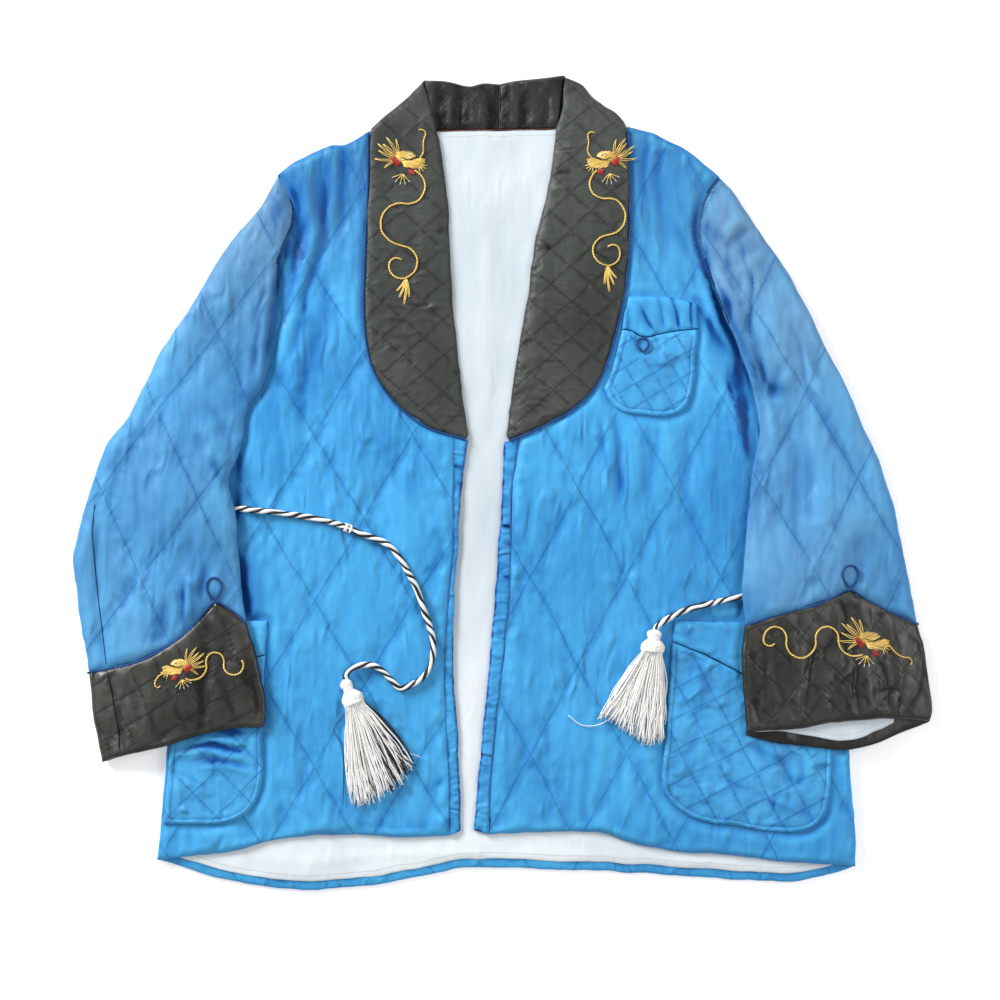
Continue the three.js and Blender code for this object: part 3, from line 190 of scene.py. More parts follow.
# Deep painted shade in troughs and folds, a row each: the points of its line, half width, share
SHADES = {
    "front_right": [
        (-58, -66, -68, -82, -80, -94, 1.8, 0.45), (-56, -290, -66, -302, -78, -314, 1.8, 0.45),
        (-46, -340, -100, -344, -150, -342, 3, 0.35), (-208, 248, -214, 236, -216, 222, 4, 0.8),
        (-214, 306, -205, 276, -208, 236, 5, 0.7), (-219, 232, -232, 196, -246, 150, -252, 110, 6, 0.95),
        (-200, 300, -196, 262, -204, 220, -222, 160, 8, 0.5),
        (-184, 306, -180, 250, -192, 190, -214, 120, 4, 0.42), (-226, 216, -238, 182, -252, 148, 6, 0.7),
        (-159, 340, -160, 312, -165, 270, 5, 0.5), (-177, 336, -177, 290, -179, 250, 5, 0.55),
        (-202, 312, -200, 290, -195, 262, 6, 0.45), (-177, 196, -190, 130, -207, 50, 9, 0.5),
        (-141, 330, -141, 220, -142, 130, 5, 0.3), (-110, 58, -112, 30, -108, 0, 4, 0.3),
        (-222, 60, -224, 20, -228, -20, 7, 0.35), (-185, 310, -184, 280, -188, 240, 14, 0.35),
        (-210, 130, -226, 80, -240, 30, 8, 0.3), (-262, -60, -258, -110, -246, -150, 8, 0.9),
        (-262, 40, -264, 0, -264, -50, 4, 0.7), (-240, -150, -236, -200, -236, -250, 7, 0.45),
        (-258, 40, -262, -10, -263, -60, 8, 0.4), (-140, 300, -150, 240, -148, 180, 16, 0.22),
        (-206, 320, -220, 290, -226, 262, 14, 0.4), (-64, -40, -78, -70, -84, -60, 3, 0.3),
        (-85, 30, -92, 10, -96, -20, 4, 0.35),
    ],
    "front_left": [
        (195, 284, 195, 240, 203, 212, 214, 182, 4, 0.8),
        (208, 200, 220, 172, 234, 140, 244, 110, 250, 84, 5, 1.0),
        (182, 282, 190, 250, 196, 216, 206, 186, 2, 0.5), (172, 300, 182, 262, 190, 222, 1.8, 0.4),
        (195, 182, 215, 150, 238, 112, 4, 0.7), (236, 92, 244, 60, 247, 20, 4, 0.95),
        (228, 136, 240, 104, 248, 60, 5, 0.9), (222, 110, 230, 90, 238, 60, 2, 0.6),
        (141, 340, 141, 310, 146, 270, 4, 0.4), (174, 262, 182, 240, 195, 214, 4, 0.4),
        (134, 330, 134, 270, 134, 200, 4, 0.3), (115, 62, 117, 20, 118, -20, 4, 0.45),
        (98, 66, 104, 30, 108, 0, 3, 0.4), (140, 62, 143, 20, 141, -20, 4, 0.3),
        (212, 60, 214, 0, 212, -80, 8, 0.25), (160, 300, 170, 260, 178, 230, 12, 0.25),
        (232, -60, 234, -90, 236, -110, 5, 0.4), (150, 330, 156, 290, 158, 240, 12, 0.3),
        (190, 300, 200, 280, 196, 262, 12, 0.25), (236, 30, 238, -40, 238, -110, 6, 0.4),
    ],
    "sleeve_right": [
        (-224, 216, -230, 170, -238, 110, 6, 0.7), (-226, 300, -222, 270, -226, 240, 7, 0.55),
        (-335, -121, -342, -142, -352, -163, 6, 0.5), (-369, -93, -374, -102, -379, -112, 6, 0.35),
        (-316, -96, -316, -122, -318, -152, 1.8, 0.55), (-307, -84, -307, -110, -308, -144, 1.6, 0.5),
        (-297, -70, -298, -98, -299, -128, 2.2, 0.45), (-276, -6, -282, 8, -292, 26, 5, 0.5),
        (-240, 150, -246, 110, -258, 70, 6, 0.45), (-262, 170, -262, 110, -260, 60, 8, 0.3),
    ],
    "sleeve_left": [
        (202, 262, 208, 251, 224, 243, 6, 0.5), (212, 208, 224, 180, 236, 150, 250, 116, 260, 84, 4, 0.8),
        (226, 247, 238, 238, 247, 225, 6, 0.35), (255, 130, 259, 104, 265, 74, 5, 0.55),
        (252, 108, 268, 98, 292, 92, 9, 0.5), (310, 96, 330, 56, 344, 26, 2, 0.4),
        (203, 244, 203, 226, 210, 200, 4, 0.6), (300, 40, 304, 0, 300, -40, 2, 0.3),
        (247, 222, 250, 180, 246, 135, 1.5, 0.5), (221, 232, 225, 214, 224, 190, 6, 0.3),
        (290, 60, 292, -10, 290, -70, 8, 0.25), (258, 60, 256, 20, 254, -30, 5, 0.35),
        (244, -100, 246, -120, 246, -138, 5, 0.35),
    ],
    "pocket_right": [
        (-312, -264, -286, -261, -256, -270, 2.4, 0.8), (-304, -279, -284, -276, -254, -286, 2.2, 0.6),
        (-322, -251, -290, -246, -250, -252, 4, 0.8), (-240, -190, -243, -230, -241, -290, 3, 0.4),
    ],
    "pocket_left": [
        (244, -260, 266, -270, 290, -286, 3, 0.42), (270, -296, 296, -300, 322, -296, 3, 0.3),
        (206, -254, 222, -268, 234, -288, 2.6, 0.45), (250, -308, 276, -321, 304, -332, 2.6, 0.42),
        (224, -296, 236, -304, 252, -306, 2.5, 0.6), (196, -172, 200, -200, 196, -240, 5, 0.4),
    ],
    "chest_band": [
        (167, 196, 174, 170, 178, 150, 1.4, 0.9), (189, 192, 190, 170, 190, 150, 1.2, 0.9),
        (136, 182, 144, 164, 154, 148, 1.6, 0.8), (123, 182, 124, 164, 122, 146, 1.2, 0.6),
        (156, 192, 158, 172, 160, 154, 1.2, 0.5),
    ],
    "chest": [
        (124, 146, 134, 142, 146, 146, 4, 0.4), (190, 150, 190, 120, 188, 90, 3, 0.3),
    ],
    "cuff_right": [
        (-296, -120, -300, -190, -303, -268, 6, 0.55), (-250, -150, -246, -190, -246, -230, 7, 0.6),
    ],
    "cuff_left": [
        (336, -116, 338, -150, 334, -186, 5, 0.9), (349, -180, 346, -206, 350, -234, 5, 0.95),
        (306, -150, 304, -186, 300, -222, 5, 0.5), (378, -176, 381, -200, 384, -228, 5, 0.6),
        (418, -140, 424, -180, 428, -220, 6, 0.7), (252, -160, 250, -200, 256, -240, 6, 0.6),
    ],
    "collar_right": [
        (-64, 320, -56, 322, -50, 324, 3, 0.6), (-66, 252, -58, 255, -50, 256, 3, 0.5),
        (-60, 180, -52, 184, -46, 184, 3, 0.5), (-52, 110, -44, 112, -38, 112, 3, 0.5),
    ],
    "collar_left": [
        (66, 312, 56, 310, 48, 309, 3, 0.6), (52, 238, 42, 236, 32, 234, 3, 0.5),
        (32, 140, 25, 138, 18, 136, 3, 0.5), (24, 96, 18, 94, 10, 92, 3, 0.5),
    ],
    "band": [
        (12, -128, 17, -140, 23, -150, 2.0, 0.75), (-4, -312, 14, -314, 32, -315, 2.2, 0.65),
        (16, 40, 18, 30, 14, 22, 2.4, 0.7), (-60, -70, -66, -82, -72, -92, 1.8, 0.5),
        (-54, -292, -62, -300, -70, -310, 2.4, 0.6), (0, -40, 8, -44, 14, -46, 1.6, 0.7),
        (2, -58, 9, -61, 14, -64, 1.5, 0.6), (-1, -92, 7, -95, 13, -97, 1.6, 0.7),
        (-52, 20, -46, 18, -40, 18, 1.7, 0.8), (-50, 4, -45, 2, -40, 0, 1.5, 0.6),
        (-2, -176, 6, -180, 12, -182, 1.6, 0.6), (-8, -236, 2, -240, 10, -242, 1.6, 0.6),
        (-58, -190, -52, -194, -46, -196, 1.6, 0.5), (-10, -286, 0, -290, 8, -292, 1.6, 0.6),
        (-46, -338, -80, -342, -130, -340, 4, 0.6), (-6, -342, 40, -346, 90, -348, 4, 0.65),
    ],
}

# Seams and edges on the body: pocket mouths, front bands, armholes, collar, cuffs
POCKET_EDGE = {
    "right": [(-324, -175), (-300, -180), (-283, -192), (-262, -180), (-236, -171)],
    "left": [(325, -165), (298, -175), (260, -189), (248, -193), (237, -189), (198, -169), (170, -159)],
}
CHEST_EDGE = [(195, 154.5), (164, 150), (142, 145), (131, 150), (119.5, 153)]
BAND_SEAM = {"right": [(-53, -350), (-53, -297), (-57, -238), (-57, -157), (-50, -72), (-49, 10),
                       (-49, 46)],
             "left": [(-13, -350), (-11, -298), (-6, -240), (0, -181), (6, -117), (8, -64), (10, -5),
                      (17, 44)]}
ARMHOLES = {"right": [(-224, 307), (-216.5, 295), (-210.5, 276), (-210.5, 258), (-217.5, 240),
                      (-225.5, 218)],
            "left": [(217, 305), (208, 294), (199.5, 276), (196.5, 255), (200.5, 231), (211, 204),
                     (217.5, 183), (226.5, 159)]}
COLLAR_OUTER = {
    "right": [(-133, 350), (-133, 303), (-136, 228), (-137, 164), (-131, 123), (-119, 97), (-100, 75),
              (-75, 57), (-36, 45)],
    "left": [(125, 352), (127, 324), (127, 276), (126, 228), (121, 186), (106, 126), (94, 99), (71, 75),
             (39, 57), (7, 43)],
}
CUFF_UPPER = {
    "right": [(-414, -190), (-390, -185), (-365, -179), (-335, -164), (-308, -143), (-286, -119),
              (-270, -127), (-255, -139)],
    "left": [(416, -141), (382, -126), (361, -115), (347, -107), (320, -119), (278, -131), (242, -142)],
}
LOOPS = {"right": (-286.5, -116, 15, 21), "left": (347, -104, 16, 21), "chest": (141, 131, 11, 13)}
SLEEVE_SEAM = [(-408, -22), (-410, -49), (-408, -77), (-404, -116), (-400, -150), (-396, -180)]
CUFF_SEAM = [(-395, -188), (-391, -204), (-387, -224), (-383, -246), (-381, -266)]
NECK_LINE = [(-64, 353.0, 5.7), (-34, 353.6, 5.8), (-2.4, 354.0, 5.8), (26, 354.4, 5.8), (52, 355.0, 5.7)]

# The collar behind the neck: the top edge, the seam with the lining, and the hidden lower edge
NECK_TOP = {"right": [(-2.4, 399), (-18, 400), (-33, 397), (-56, 402), (-78, 403)],
            "left": [(-2.3, 399), (11, 402), (39, 405), (62, 408)]}
NECK_SEAM = {"right": [(-2.4, 354.6), (-34, 354), (-65.5, 353.6)],
             "left": [(-2.3, 354.6), (26, 355.2), (53.8, 355.6)]}
NECK_FALL = {"right": [(-2.4, 336), (-60, 337), (-110, 342), (-131, 350)],
             "left": [(-2.3, 336), (60, 340), (105, 346), (124, 351)]}


# ---- Small maths ----
def noise(x, y, cell, seed):
    """Smooth values from -1 to 1 over a grid of the given cell size."""
    table = np.random.RandomState(seed).uniform(-1, 1, (64, 64))
    gx, gy = np.asarray(x, float) / cell, np.asarray(y, float) / cell
    ix, iy = np.floor(gx).astype(int), np.floor(gy).astype(int)
    fx, fy = gx - ix, gy - iy
    fx, fy = fx * fx * (3 - 2 * fx), fy * fy * (3 - 2 * fy)
    a, b = table[ix % 64, iy % 64], table[(ix + 1) % 64, iy % 64]
    c, d = table[ix % 64, (iy + 1) % 64], table[(ix + 1) % 64, (iy + 1) % 64]
    return (a * (1 - fx) + b * fx) * (1 - fy) + (c * (1 - fx) + d * fx) * fy


def smooth(t):
    t = np.clip(t, 0, 1)
    return t * t * (3 - 2 * t)


def spline(points, step, closed=False):
    """Points at about equal steps along a smooth line through the given ones."""
    p = np.array(points, float)
    if len(p) < 3 and not closed:
        count = max(1, int(round(np.linalg.norm(p[-1] - p[0]) / step)))
        t = np.linspace(0, 1, count + 1)[:, None]
        return p[0] * (1 - t) + p[-1] * t
    q = np.vstack([p[-1], p, p[0], p[1]]) if closed else np.vstack([2 * p[0] - p[1], p, 2 * p[-1] - p[-2]])
    rows = []
    for i in range(1, len(q) - 2):
        p0, p1, p2, p3 = q[i - 1], q[i], q[i + 1], q[i + 2]
        d1, d2, d3 = (max(1e-6, np.linalg.norm(b - a)) ** 0.5 for a, b in ((p0, p1), (p1, p2), (p2, p3)))
        m1 = (p1 - p0) / d1 - (p2 - p0) / (d1 + d2) + (p2 - p1) / d2
        m2 = (p2 - p1) / d2 - (p3 - p1) / (d2 + d3) + (p3 - p2) / d3
        m1, m2 = m1 * d2, m2 * d2
        t = np.linspace(0, 1, 25)[:-1, None]
        ease = 3 * t**2 - 2 * t**3
        rows.append((1 - ease) * p1 + (t**3 - 2 * t**2 + t) * m1 + ease * p2 + (t**3 - t**2) * m2)
    rows.append(q[-2][None])
    line = np.vstack(rows)
    run = np.concatenate([[0], np.cumsum(np.linalg.norm(np.diff(line, axis=0), axis=1))])
    count = max(2, int(round(run[-1] / step)))
    at = np.linspace(0, run[-1], count + 1)
    out = np.stack([np.interp(at, run, line[:, k]) for k in range(line.shape[1])], 1)
    return out[:-1] if closed else out


def side_of(x, middle=0):
    return "right" if x.mean() < middle else "left"


def direction(degrees):
    """A unit vector along an angle."""
    turn = math.radians(degrees)
    return np.array([math.cos(turn), math.sin(turn)])


def stroke(row):
    """A table row as the points of its line, its half width, and its rise or share."""
    *flat, half, size = row
    return list(zip(flat[::2], flat[1::2])), half, size


def to_line(x, y, points):
    """Distance to a line of points, and the share of its length where it is nearest."""
    p = np.array(points, float)
    lengths = np.linalg.norm(np.diff(p, axis=0), axis=1)
    starts = np.concatenate([[0], np.cumsum(lengths)])
    best, at = np.full(x.shape, 1e9), np.zeros(x.shape)
    for i, length in enumerate(lengths):
        ux, uy = (p[i + 1] - p[i]) / length
        along = (x - p[i, 0]) * ux + (y - p[i, 1]) * uy
        t = np.clip(along, 0, length)
        if i == 0:
            t = np.minimum(along, length)
        if i == len(lengths) - 1:
            t = np.maximum(t if i == 0 else np.clip(along, 0, None), along if i == 0 else 0)
        cx, cy = p[i, 0] + t * ux, p[i, 1] + t * uy
        away = np.hypot(x - cx, y - cy)
        near = away < best
        best, at = np.where(near, away, best), np.where(near, (starts[i] + t) / starts[-1], at)
    return best, at


def fold_rise(x, y, rows, seed, warp=5.0):
    """Rise and fall of the listed folds, a little bent and uneven in width."""
    wx = x + warp * noise(x, y, 48, seed) + 1.5 * noise(x, y, 17, seed + 5)
    wy = y + warp * noise(x, y, 48, seed + 1)
    total = np.zeros(x.shape)
    for k, (points, half, rise) in enumerate(map(stroke, rows)):
        away, at = to_line(wx, wy, points)
        width = half * (1 + 0.3 * noise(at * 100, at * 0 + 7 * k, 22, seed + 2))
        ends = smooth((at + 0.18) / 0.4) * smooth((1.18 - at) / 0.4)
        total += rise * ends * np.exp(-((away / width) ** 2))
    return total


def in_ring(x, y, ring):
    """True for the points inside an outline."""
    inside = np.zeros(x.shape, bool)
    j = len(ring) - 1
    for i in range(len(ring)):
        (ax, ay), (bx, by) = ring[i], ring[j]
        crossing = (ay > y) != (by > y)
        if ay != by:
            inside ^= crossing & (x < ax + (y - ay) * (bx - ax) / (by - ay))
        j = i
    return inside


def ring_tree(ring):
    fine = spline(ring, 1.5, closed=True) if len(ring) < 400 else ring
    tree = kdtree.KDTree(len(fine))
    for i, (px, py) in enumerate(fine):
        tree.insert((px, py, 0), i)
    tree.balance()
    return tree


def to_ring(x, y, ring):
    """Distance to an outline."""
    tree = ring_tree(ring)
    return np.array([tree.find((a, b, 0))[2] for a, b in zip(x, y)])


# ---- The CAD nodes: outlines and heights ----
def node_mesh(name):
    """Merged points, in millimetres, and triangles of a CAD node."""
    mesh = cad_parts[name].data
    co = np.empty(len(mesh.vertices) * 3)
    mesh.vertices.foreach_get("co", co)
    co = np.round(co.reshape(-1, 3) / MM, 4)
    keys, back = np.unique(co, axis=0, return_inverse=True)
    mesh.calc_loop_triangles()
    tris = np.empty(len(mesh.loop_triangles) * 3, int)
    mesh.loop_triangles.foreach_get("vertices", tris)
    return keys, back.reshape(-1)[tris.reshape(-1, 3)]


def outline(name):
    """The outline of a wall of cloth: the edge between its rim and its upper skin."""
    co, tris = node_mesh(name)
    a, b, c = co[tris[:, 0]], co[tris[:, 1]], co[tris[:, 2]]
    normal = np.cross(b - a, c - a)
    normal /= np.linalg.norm(normal, axis=1)[:, None] + 1e-12
    side = np.abs(normal[:, 2]) < 0.02
    upper = normal[:, 2] > 0.02
    rim_edges = {(int(t[k]), int(t[(k + 1) % 3])) for t in tris[side] for k in range(3)}
    after = {}
    for t in tris[upper]:
        for k in range(3):
            i, j = int(t[k]), int(t[(k + 1) % 3])
            if (j, i) in rim_edges:
                after[i] = j
    start = next(iter(after))
    ring, at = [start], after[start]
    while at != start and len(ring) < 5000:
        ring.append(at)
        at = after[at]
    return co[ring][:, :2]


def fine_ring(ring, step):
    """The outline at small steps, smooth between its corners."""
    n = len(ring)
    before = ring - np.roll(ring, 1, 0)
    ahead = np.roll(ring, -1, 0) - ring
    turn = np.abs(np.arctan2(before[:, 0] * ahead[:, 1] - before[:, 1] * ahead[:, 0],
                             (before * ahead).sum(1)))
    corners = [i for i in range(n) if turn[i] > 0.7]
    if not corners:
        return spline(ring, step, closed=True)
    out = []
    for k, i in enumerate(corners):
        j = corners[(k + 1) % len(corners)]
        run = ring[i:j + 1] if j > i else np.vstack([ring[i:], ring[:j + 1]])
        out.append(spline(run, step)[:-1])
    return np.vstack(out)


class Heights:
    """Heights of a CAD node over x, y: its lower or its upper side."""

    def __init__(self, name, up):
        co, tris = node_mesh(name)
        self.tree = BVHTree.FromPolygons([Vector(p) for p in co], tris.tolist())
        self.up = up

    def __call__(self, x, y):
        start, way = (1000.0, -1.0) if self.up else (-1000.0, 1.0)
        out = np.full(len(x), np.nan)
        for i, (px, py) in enumerate(zip(x, y)):
            hit = self.tree.ray_cast(Vector((px, py, start)), Vector((0, 0, way)))
            if hit[0] is not None:
                out[i] = hit[0].z
        for i in np.nonzero(np.isnan(out))[0]:
            out[i] = self.tree.find_nearest(Vector((x[i], y[i], 30.0 if self.up else -10.0)))[0].z
        return out


def relax(values, edges, rounds):
    """Values smoothed over a mesh's edges."""
    count = np.bincount(edges.ravel(), minlength=len(values)).astype(float)
    for _ in range(rounds):
        total = sum(np.bincount(edges[:, k], values[edges[:, 1 - k]], len(values)) for k in (0, 1))
        values = 0.4 * values + 0.6 * total / count
    return values


# ---- Cloth ----
WOBBLE = 0.9


class Sheet:
    """Points and triangles over an outline, with the distance to its rim."""

    def __init__(self, ring, step, insets=(0.5, 1.4, 2.8)):
        ring = fine_ring(np.array(ring, float), step)
        turn = np.roll(ring, -1, 0) - np.roll(ring, 1, 0)
        if (ring[:, 0] * np.roll(ring[:, 1], -1) - ring[:, 1] * np.roll(ring[:, 0], -1)).sum() < 0:
            ring, turn = ring[::-1], -turn[::-1]
        inward = np.stack([-turn[:, 1], turn[:, 0]], 1) / (np.linalg.norm(turn, axis=1)[:, None] + 1e-9)
        low, high = ring.min(0), ring.max(0)
        rows = np.arange(low[1], high[1], step * 0.866)
        grid = []
        for k, gy in enumerate(rows):
            gx = np.arange(low[0] + (k % 2) * step / 2, high[0], step)
            grid.append(np.stack([gx, np.full(len(gx), gy)], 1))
        grid = np.vstack(grid)
        grid = grid[in_ring(grid[:, 0], grid[:, 1], ring)]
        away = to_ring(grid[:, 0], grid[:, 1], ring)
        inner = [grid[away > insets[-1] + 0.5 * step]]
        for by in insets:
            row = ring + inward * by
            keep = in_ring(row[:, 0], row[:, 1], ring) & (to_ring(row[:, 0], row[:, 1], ring) > 0.8 * by)
            inner.append(row[keep])
        points = np.vstack([ring, *inner])
        made = delaunay_2d_cdt([Vector(p) for p in points], [], [list(range(len(ring)))], 1, 1e-4)
        self.xy = np.array([tuple(v) for v in made[0]])
        self.tris = np.array([f for f in made[2] if len(f) == 3])
        p = self.xy[self.tris]
        (bx, by), (cx, cy) = (p[:, 1] - p[:, 0]).T, (p[:, 2] - p[:, 0]).T
        area = bx * cy - by * cx
        self.tris[area < 0] = self.tris[area < 0][:, ::-1]
        directed = np.vstack([self.tris[:, [0, 1]], self.tris[:, [1, 2]], self.tris[:, [2, 0]]])
        keys = {(int(a), int(b)) for a, b in directed}
        self.rim = np.array([(a, b) for a, b in keys if (b, a) not in keys])
        self.edges = np.unique(np.sort(directed, 1), axis=0)
        self.x, self.y = self.xy[:, 0], self.xy[:, 1]
        self.d = to_ring(self.x, self.y, ring)
        self.d[np.unique(self.rim)] = 0
        self.ring = ring


def shift(x, y):
    """A small sideways wander of every edge, the same for all pieces."""
    return (x + WOBBLE * noise(x, y, 21, 91) + 0.4 * noise(x, y, 8, 92),
            y + WOBBLE * noise(x, y, 21, 93) + 0.4 * noise(x, y, 8, 94))


def make(name, co, faces, material, attributes=None, material_index=None, others=()):
    """A mesh object that rides on the one body, with its point attributes and materials."""
    mesh = bpy.data.meshes.new(name)
    mesh.from_pydata((np.asarray(co) * MM).tolist(), [], [tuple(f) for f in faces])
    mesh.materials.append(material)
    for other in others:
        mesh.materials.append(other)
    if material_index is not None:
        mesh.polygons.foreach_set("material_index", np.asarray(material_index, np.int32))
    mesh.polygons.foreach_set("use_smooth", [True] * len(mesh.polygons))
    for key, values in (attributes or {}).items():
        values = np.asarray(values, np.float32)
        kind = "FLOAT" if values.ndim == 1 else "FLOAT_VECTOR"
        layer = mesh.attributes.new(key, kind, "POINT")
        layer.data.foreach_set("value" if values.ndim == 1 else "vector", values.ravel())
    mesh.validate()
    mesh.update()
    obj = bpy.data.objects.new(name, mesh)
    bpy.context.scene.collection.objects.link(obj)
    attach(obj, "root")
    return obj


def quilt_lines(x, y, quilt, seed):
    """Line coordinates of the quilting: whole numbers lie on a stitch line."""
    wide, high, cx, cy, turn = quilt
    angle = math.radians(-turn)
    sx, sy = x + 1.3 * noise(x, y, 60, seed), y + 1.3 * noise(x, y, 60, seed + 1)
    u = (sx - cx) * math.cos(angle) - (sy - cy) * math.sin(angle)
    v = (sx - cx) * math.sin(angle) + (sy - cy) * math.cos(angle)
    return (u / wide + v / high) / 2, (u / wide - v / high) / 2


def quilt_rise(x, y, quilt, seed, reach, pucker, cell):
    """Rise of the wadding between the lines, from 0 to 1, and the puckers across each line."""
    wide, high = quilt[:2]
    period = 2 * wide * high / math.hypot(wide, high)
    a, b = quilt_lines(x, y, quilt, seed)
    da, db = np.abs(a - np.round(a)) * period, np.abs(b - np.round(b)) * period
    puffs = [(1 - (1 - np.clip(d / reach, 0, 1)) ** 2) ** 1.25 for d in (da, db)]
    along = math.hypot(wide, high)
    drawn = np.zeros(x.shape)
    for line, d, other, s in ((np.round(a), da, b, 11), (np.round(b), db, a, 23)):
        run = other * along
        wave = (noise(run + 3.1 * line * cell, d + 40 * line, cell, seed + s)
                + 0.6 * noise(run, d + 17 * line, cell * 0.45, seed + s + 1))
        drawn += wave * np.exp(-d / (1.5 * cell)) * np.clip(d / 1.2, 0.15, 1)
    lines = np.stack([a * period, b * period, np.full(x.shape, period)], 1)
    return puffs[0] * puffs[1], pucker * drawn, lines


def crumple(x, y, cell, seed, lean=0.55):
    """Soft dents and a few sharp short creases, patchy, about -1 to 1."""
    wx = x + 0.5 * cell * noise(x, y, 2.3 * cell, seed)
    wy = lean * (y + 0.6 * cell * noise(x, y, 2.1 * cell, seed + 1))
    crest = np.clip(1 - 3.2 * np.abs(noise(wx, wy, 1.6 * cell, seed + 3)), 0, 1) ** 1.4
    patchy = smooth(0.55 + 1.1 * noise(x, y, 3.2 * cell, seed + 4))
    return patchy * 0.8 * noise(wx, wy, cell, seed + 2) + crest * 1.2 * noise(x, y, 1.9 * cell, seed + 5)


def profile(d, radius, rim):
    """A rounded rim: from a share of the wall at the edge to all of it."""
    return rim + (1 - rim) * np.sqrt(1 - (1 - np.clip(d / radius, 0, 1)) ** 2)


PIECES = {}


def far_from_lines(count):
    """Line coordinates in the middle of a wide cell, for cloth with no quilting."""
    return np.full((count, 3), 0.5) * [60, 60, 120]


def shade(x, y, rows):
    """Depth of shade from 0 to 1: a narrow core with soft flanks, thin towards its ends."""
    wx, wy = x + 2.2 * noise(x, y, 40, 37), y + 2.2 * noise(x, y, 40, 40)
    total = np.zeros(x.shape)
    for k, (points, half, share) in enumerate(map(stroke, rows)):
        away, at = to_line(wx, wy, points)
        uneven = 1 + 0.3 * noise(at * 100, at * 0 + 7 * k, 22, 39)
        swell = 0.55 + 0.75 * np.sin(np.pi * np.clip(at, 0, 1)) * uneven
        ends = smooth((at + 0.12) / 0.4) * smooth((1.12 - at) / 0.4)
        core = np.exp(-((away / (1.25 * half * swell)) ** 1.3))
        total = np.maximum(total, 1.3 * share**1.35 * ends * core)
    return np.clip(total * (0.9 + 0.35 * noise(x, y * 0.4, 9, 38)), 0, 1)


def cloth(name, node, step, bottom, top, material, fade=None, shades=(), relief_shading=0.35,
          insets=(0.5, 1.4, 2.8)):
    """A closed sheet of cloth in a CAD node's outline, between two height functions."""
    sheet = Sheet(outline(node), step, insets)
    base = bottom(sheet)
    upper, attributes = top(sheet, base)
    count = len(sheet.xy)
    sx, sy = shift(sheet.x, sheet.y)
    tops = np.stack([sx, sy, upper], 1)
    bottoms = np.stack([sx, sy, base], 1)
    faces = sheet.tris.tolist() + (sheet.tris[:, ::-1] + count).tolist()
    faces += [(b, a, a + count, b + count) for a, b in sheet.rim.tolist()]
    attributes.setdefault("rim", sheet.d)
    attributes.setdefault("fade", np.zeros(count) if fade is None else fade(sheet.x, sheet.y))
    # Painted shade in the hollows of the upper side and painted highlight on its crests, added to the painted
    # shade of the shade rows.
    hollow = np.clip((relax(upper, sheet.edges, 9) - upper) * smooth(sheet.d / 5), -0.8, 0.8)
    drawn = shade(sheet.x, sheet.y, shades)
    attributes.setdefault("shade", np.clip(drawn + relief_shading * np.where(hollow > 0, 1.0, 0.7) * hollow, -1, 1))
    attributes.setdefault("quilt", np.tile([0.5, 0.5, 1.0], (count, 1)))
    attributes = {k: np.concatenate([v, v]) for k, v in attributes.items()}
    obj = make(name, np.vstack([tops, bottoms]), faces, material, attributes)
    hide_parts(node)
    a, b, c = (tops[sheet.tris[:, k]] for k in range(3))
    area = 0.5 * np.abs(np.cross(b - a, c - a)[:, 2]).sum()
    tree = BVHTree.FromPolygons([Vector(p) for p in tops], sheet.tris.tolist())
    PIECES[name] = {"obj": obj, "tree": tree, "sheet": sheet, "area": float(area) * MM * MM}


def flat_at(z):
    """A level lower side."""
    return lambda sheet: np.full(len(sheet.x), float(z))


def lying_on(node, rounds):
    """A lower side that follows the CAD node's own."""
    heights = Heights(node, False)
    return lambda sheet: relax(heights(sheet.x, sheet.y), sheet.edges, rounds)


def covered(x, y, rings, edge, fade):
    """0 under the given pieces and just beside them, 1 in the open."""
    out = np.ones(x.shape)
    for ring in rings:
        away = np.where(in_ring(x, y, ring), 0, to_ring(x, y, ring))
        out = np.minimum(out, smooth((away - edge) / fade))
    return out


# ---- Materials ----
class Nodes:
    def __init__(self, name):
        self.material = bpy.data.materials.new(name)
        self.material.use_nodes = True
        self.tree = self.material.node_tree
        self.shader = self.tree.nodes["Principled BSDF"]

    def add(self, kind, inputs=(), **settings):
        node = self.tree.nodes.new(kind)
        for key, value in settings.items():
            setattr(node, key, value)
        for key, value in dict(inputs).items():
            self.put(node.inputs[key], value)
        return node

    def put(self, socket, value):
        if isinstance(value, bpy.types.NodeSocket):
            self.tree.links.new(value, socket)
        elif value is not None:
            socket.default_value = value

    def math(self, operation, a, b=None, c=None, clamp=False):
        node = self.add("ShaderNodeMath", {0: a, 1: b, 2: c}, operation=operation, use_clamp=clamp)
        return node.outputs[0]

    def attribute(self, name, output):
        return self.add("ShaderNodeAttribute", attribute_name=name).outputs[output]

    def mix(self, share, a, b):
        node = self.add("ShaderNodeMix", data_type="RGBA")
        self.put(node.inputs[0], share)
        self.put(node.inputs[6], a)
        self.put(node.inputs[7], b)
        return node.outputs[2]

    def noise(self, scale, detail=3.0, stretch=None, roughness=0.5):
        coords = self.add("ShaderNodeTexCoord").outputs["Object"]
        if stretch:
            coords = self.add("ShaderNodeMapping", {"Vector": coords, "Scale": stretch}).outputs[0]
        node = self.add("ShaderNodeTexNoise", {"Vector": coords, "Scale": scale, "Detail": detail,
                                               "Roughness": roughness})
        return node.outputs[0]

    def ramp(self, value, low, high, to_low=0.0, to_high=1.0):
        node = self.add("ShaderNodeMapRange", {"Value": value, "From Min": low, "From Max": high,
                                               "To Min": to_low, "To Max": to_high})
        node.interpolation_type = "SMOOTHSTEP"
        return node.outputs[0]

    def bump(self, height, distance, strength=1.0, normal=None):
        node = self.add("ShaderNodeBump", {"Height": height, "Distance": distance, "Strength": strength})
        if normal is not None:
            self.put(node.inputs["Normal"], normal)
        return node.outputs[0]


def rgb(r, g, b):
    return tuple(((v / 255 + 0.055) / 1.055) ** 2.4 if v > 10 else v / 255 / 12.92
                 for v in (r, g, b)) + (1.0,)


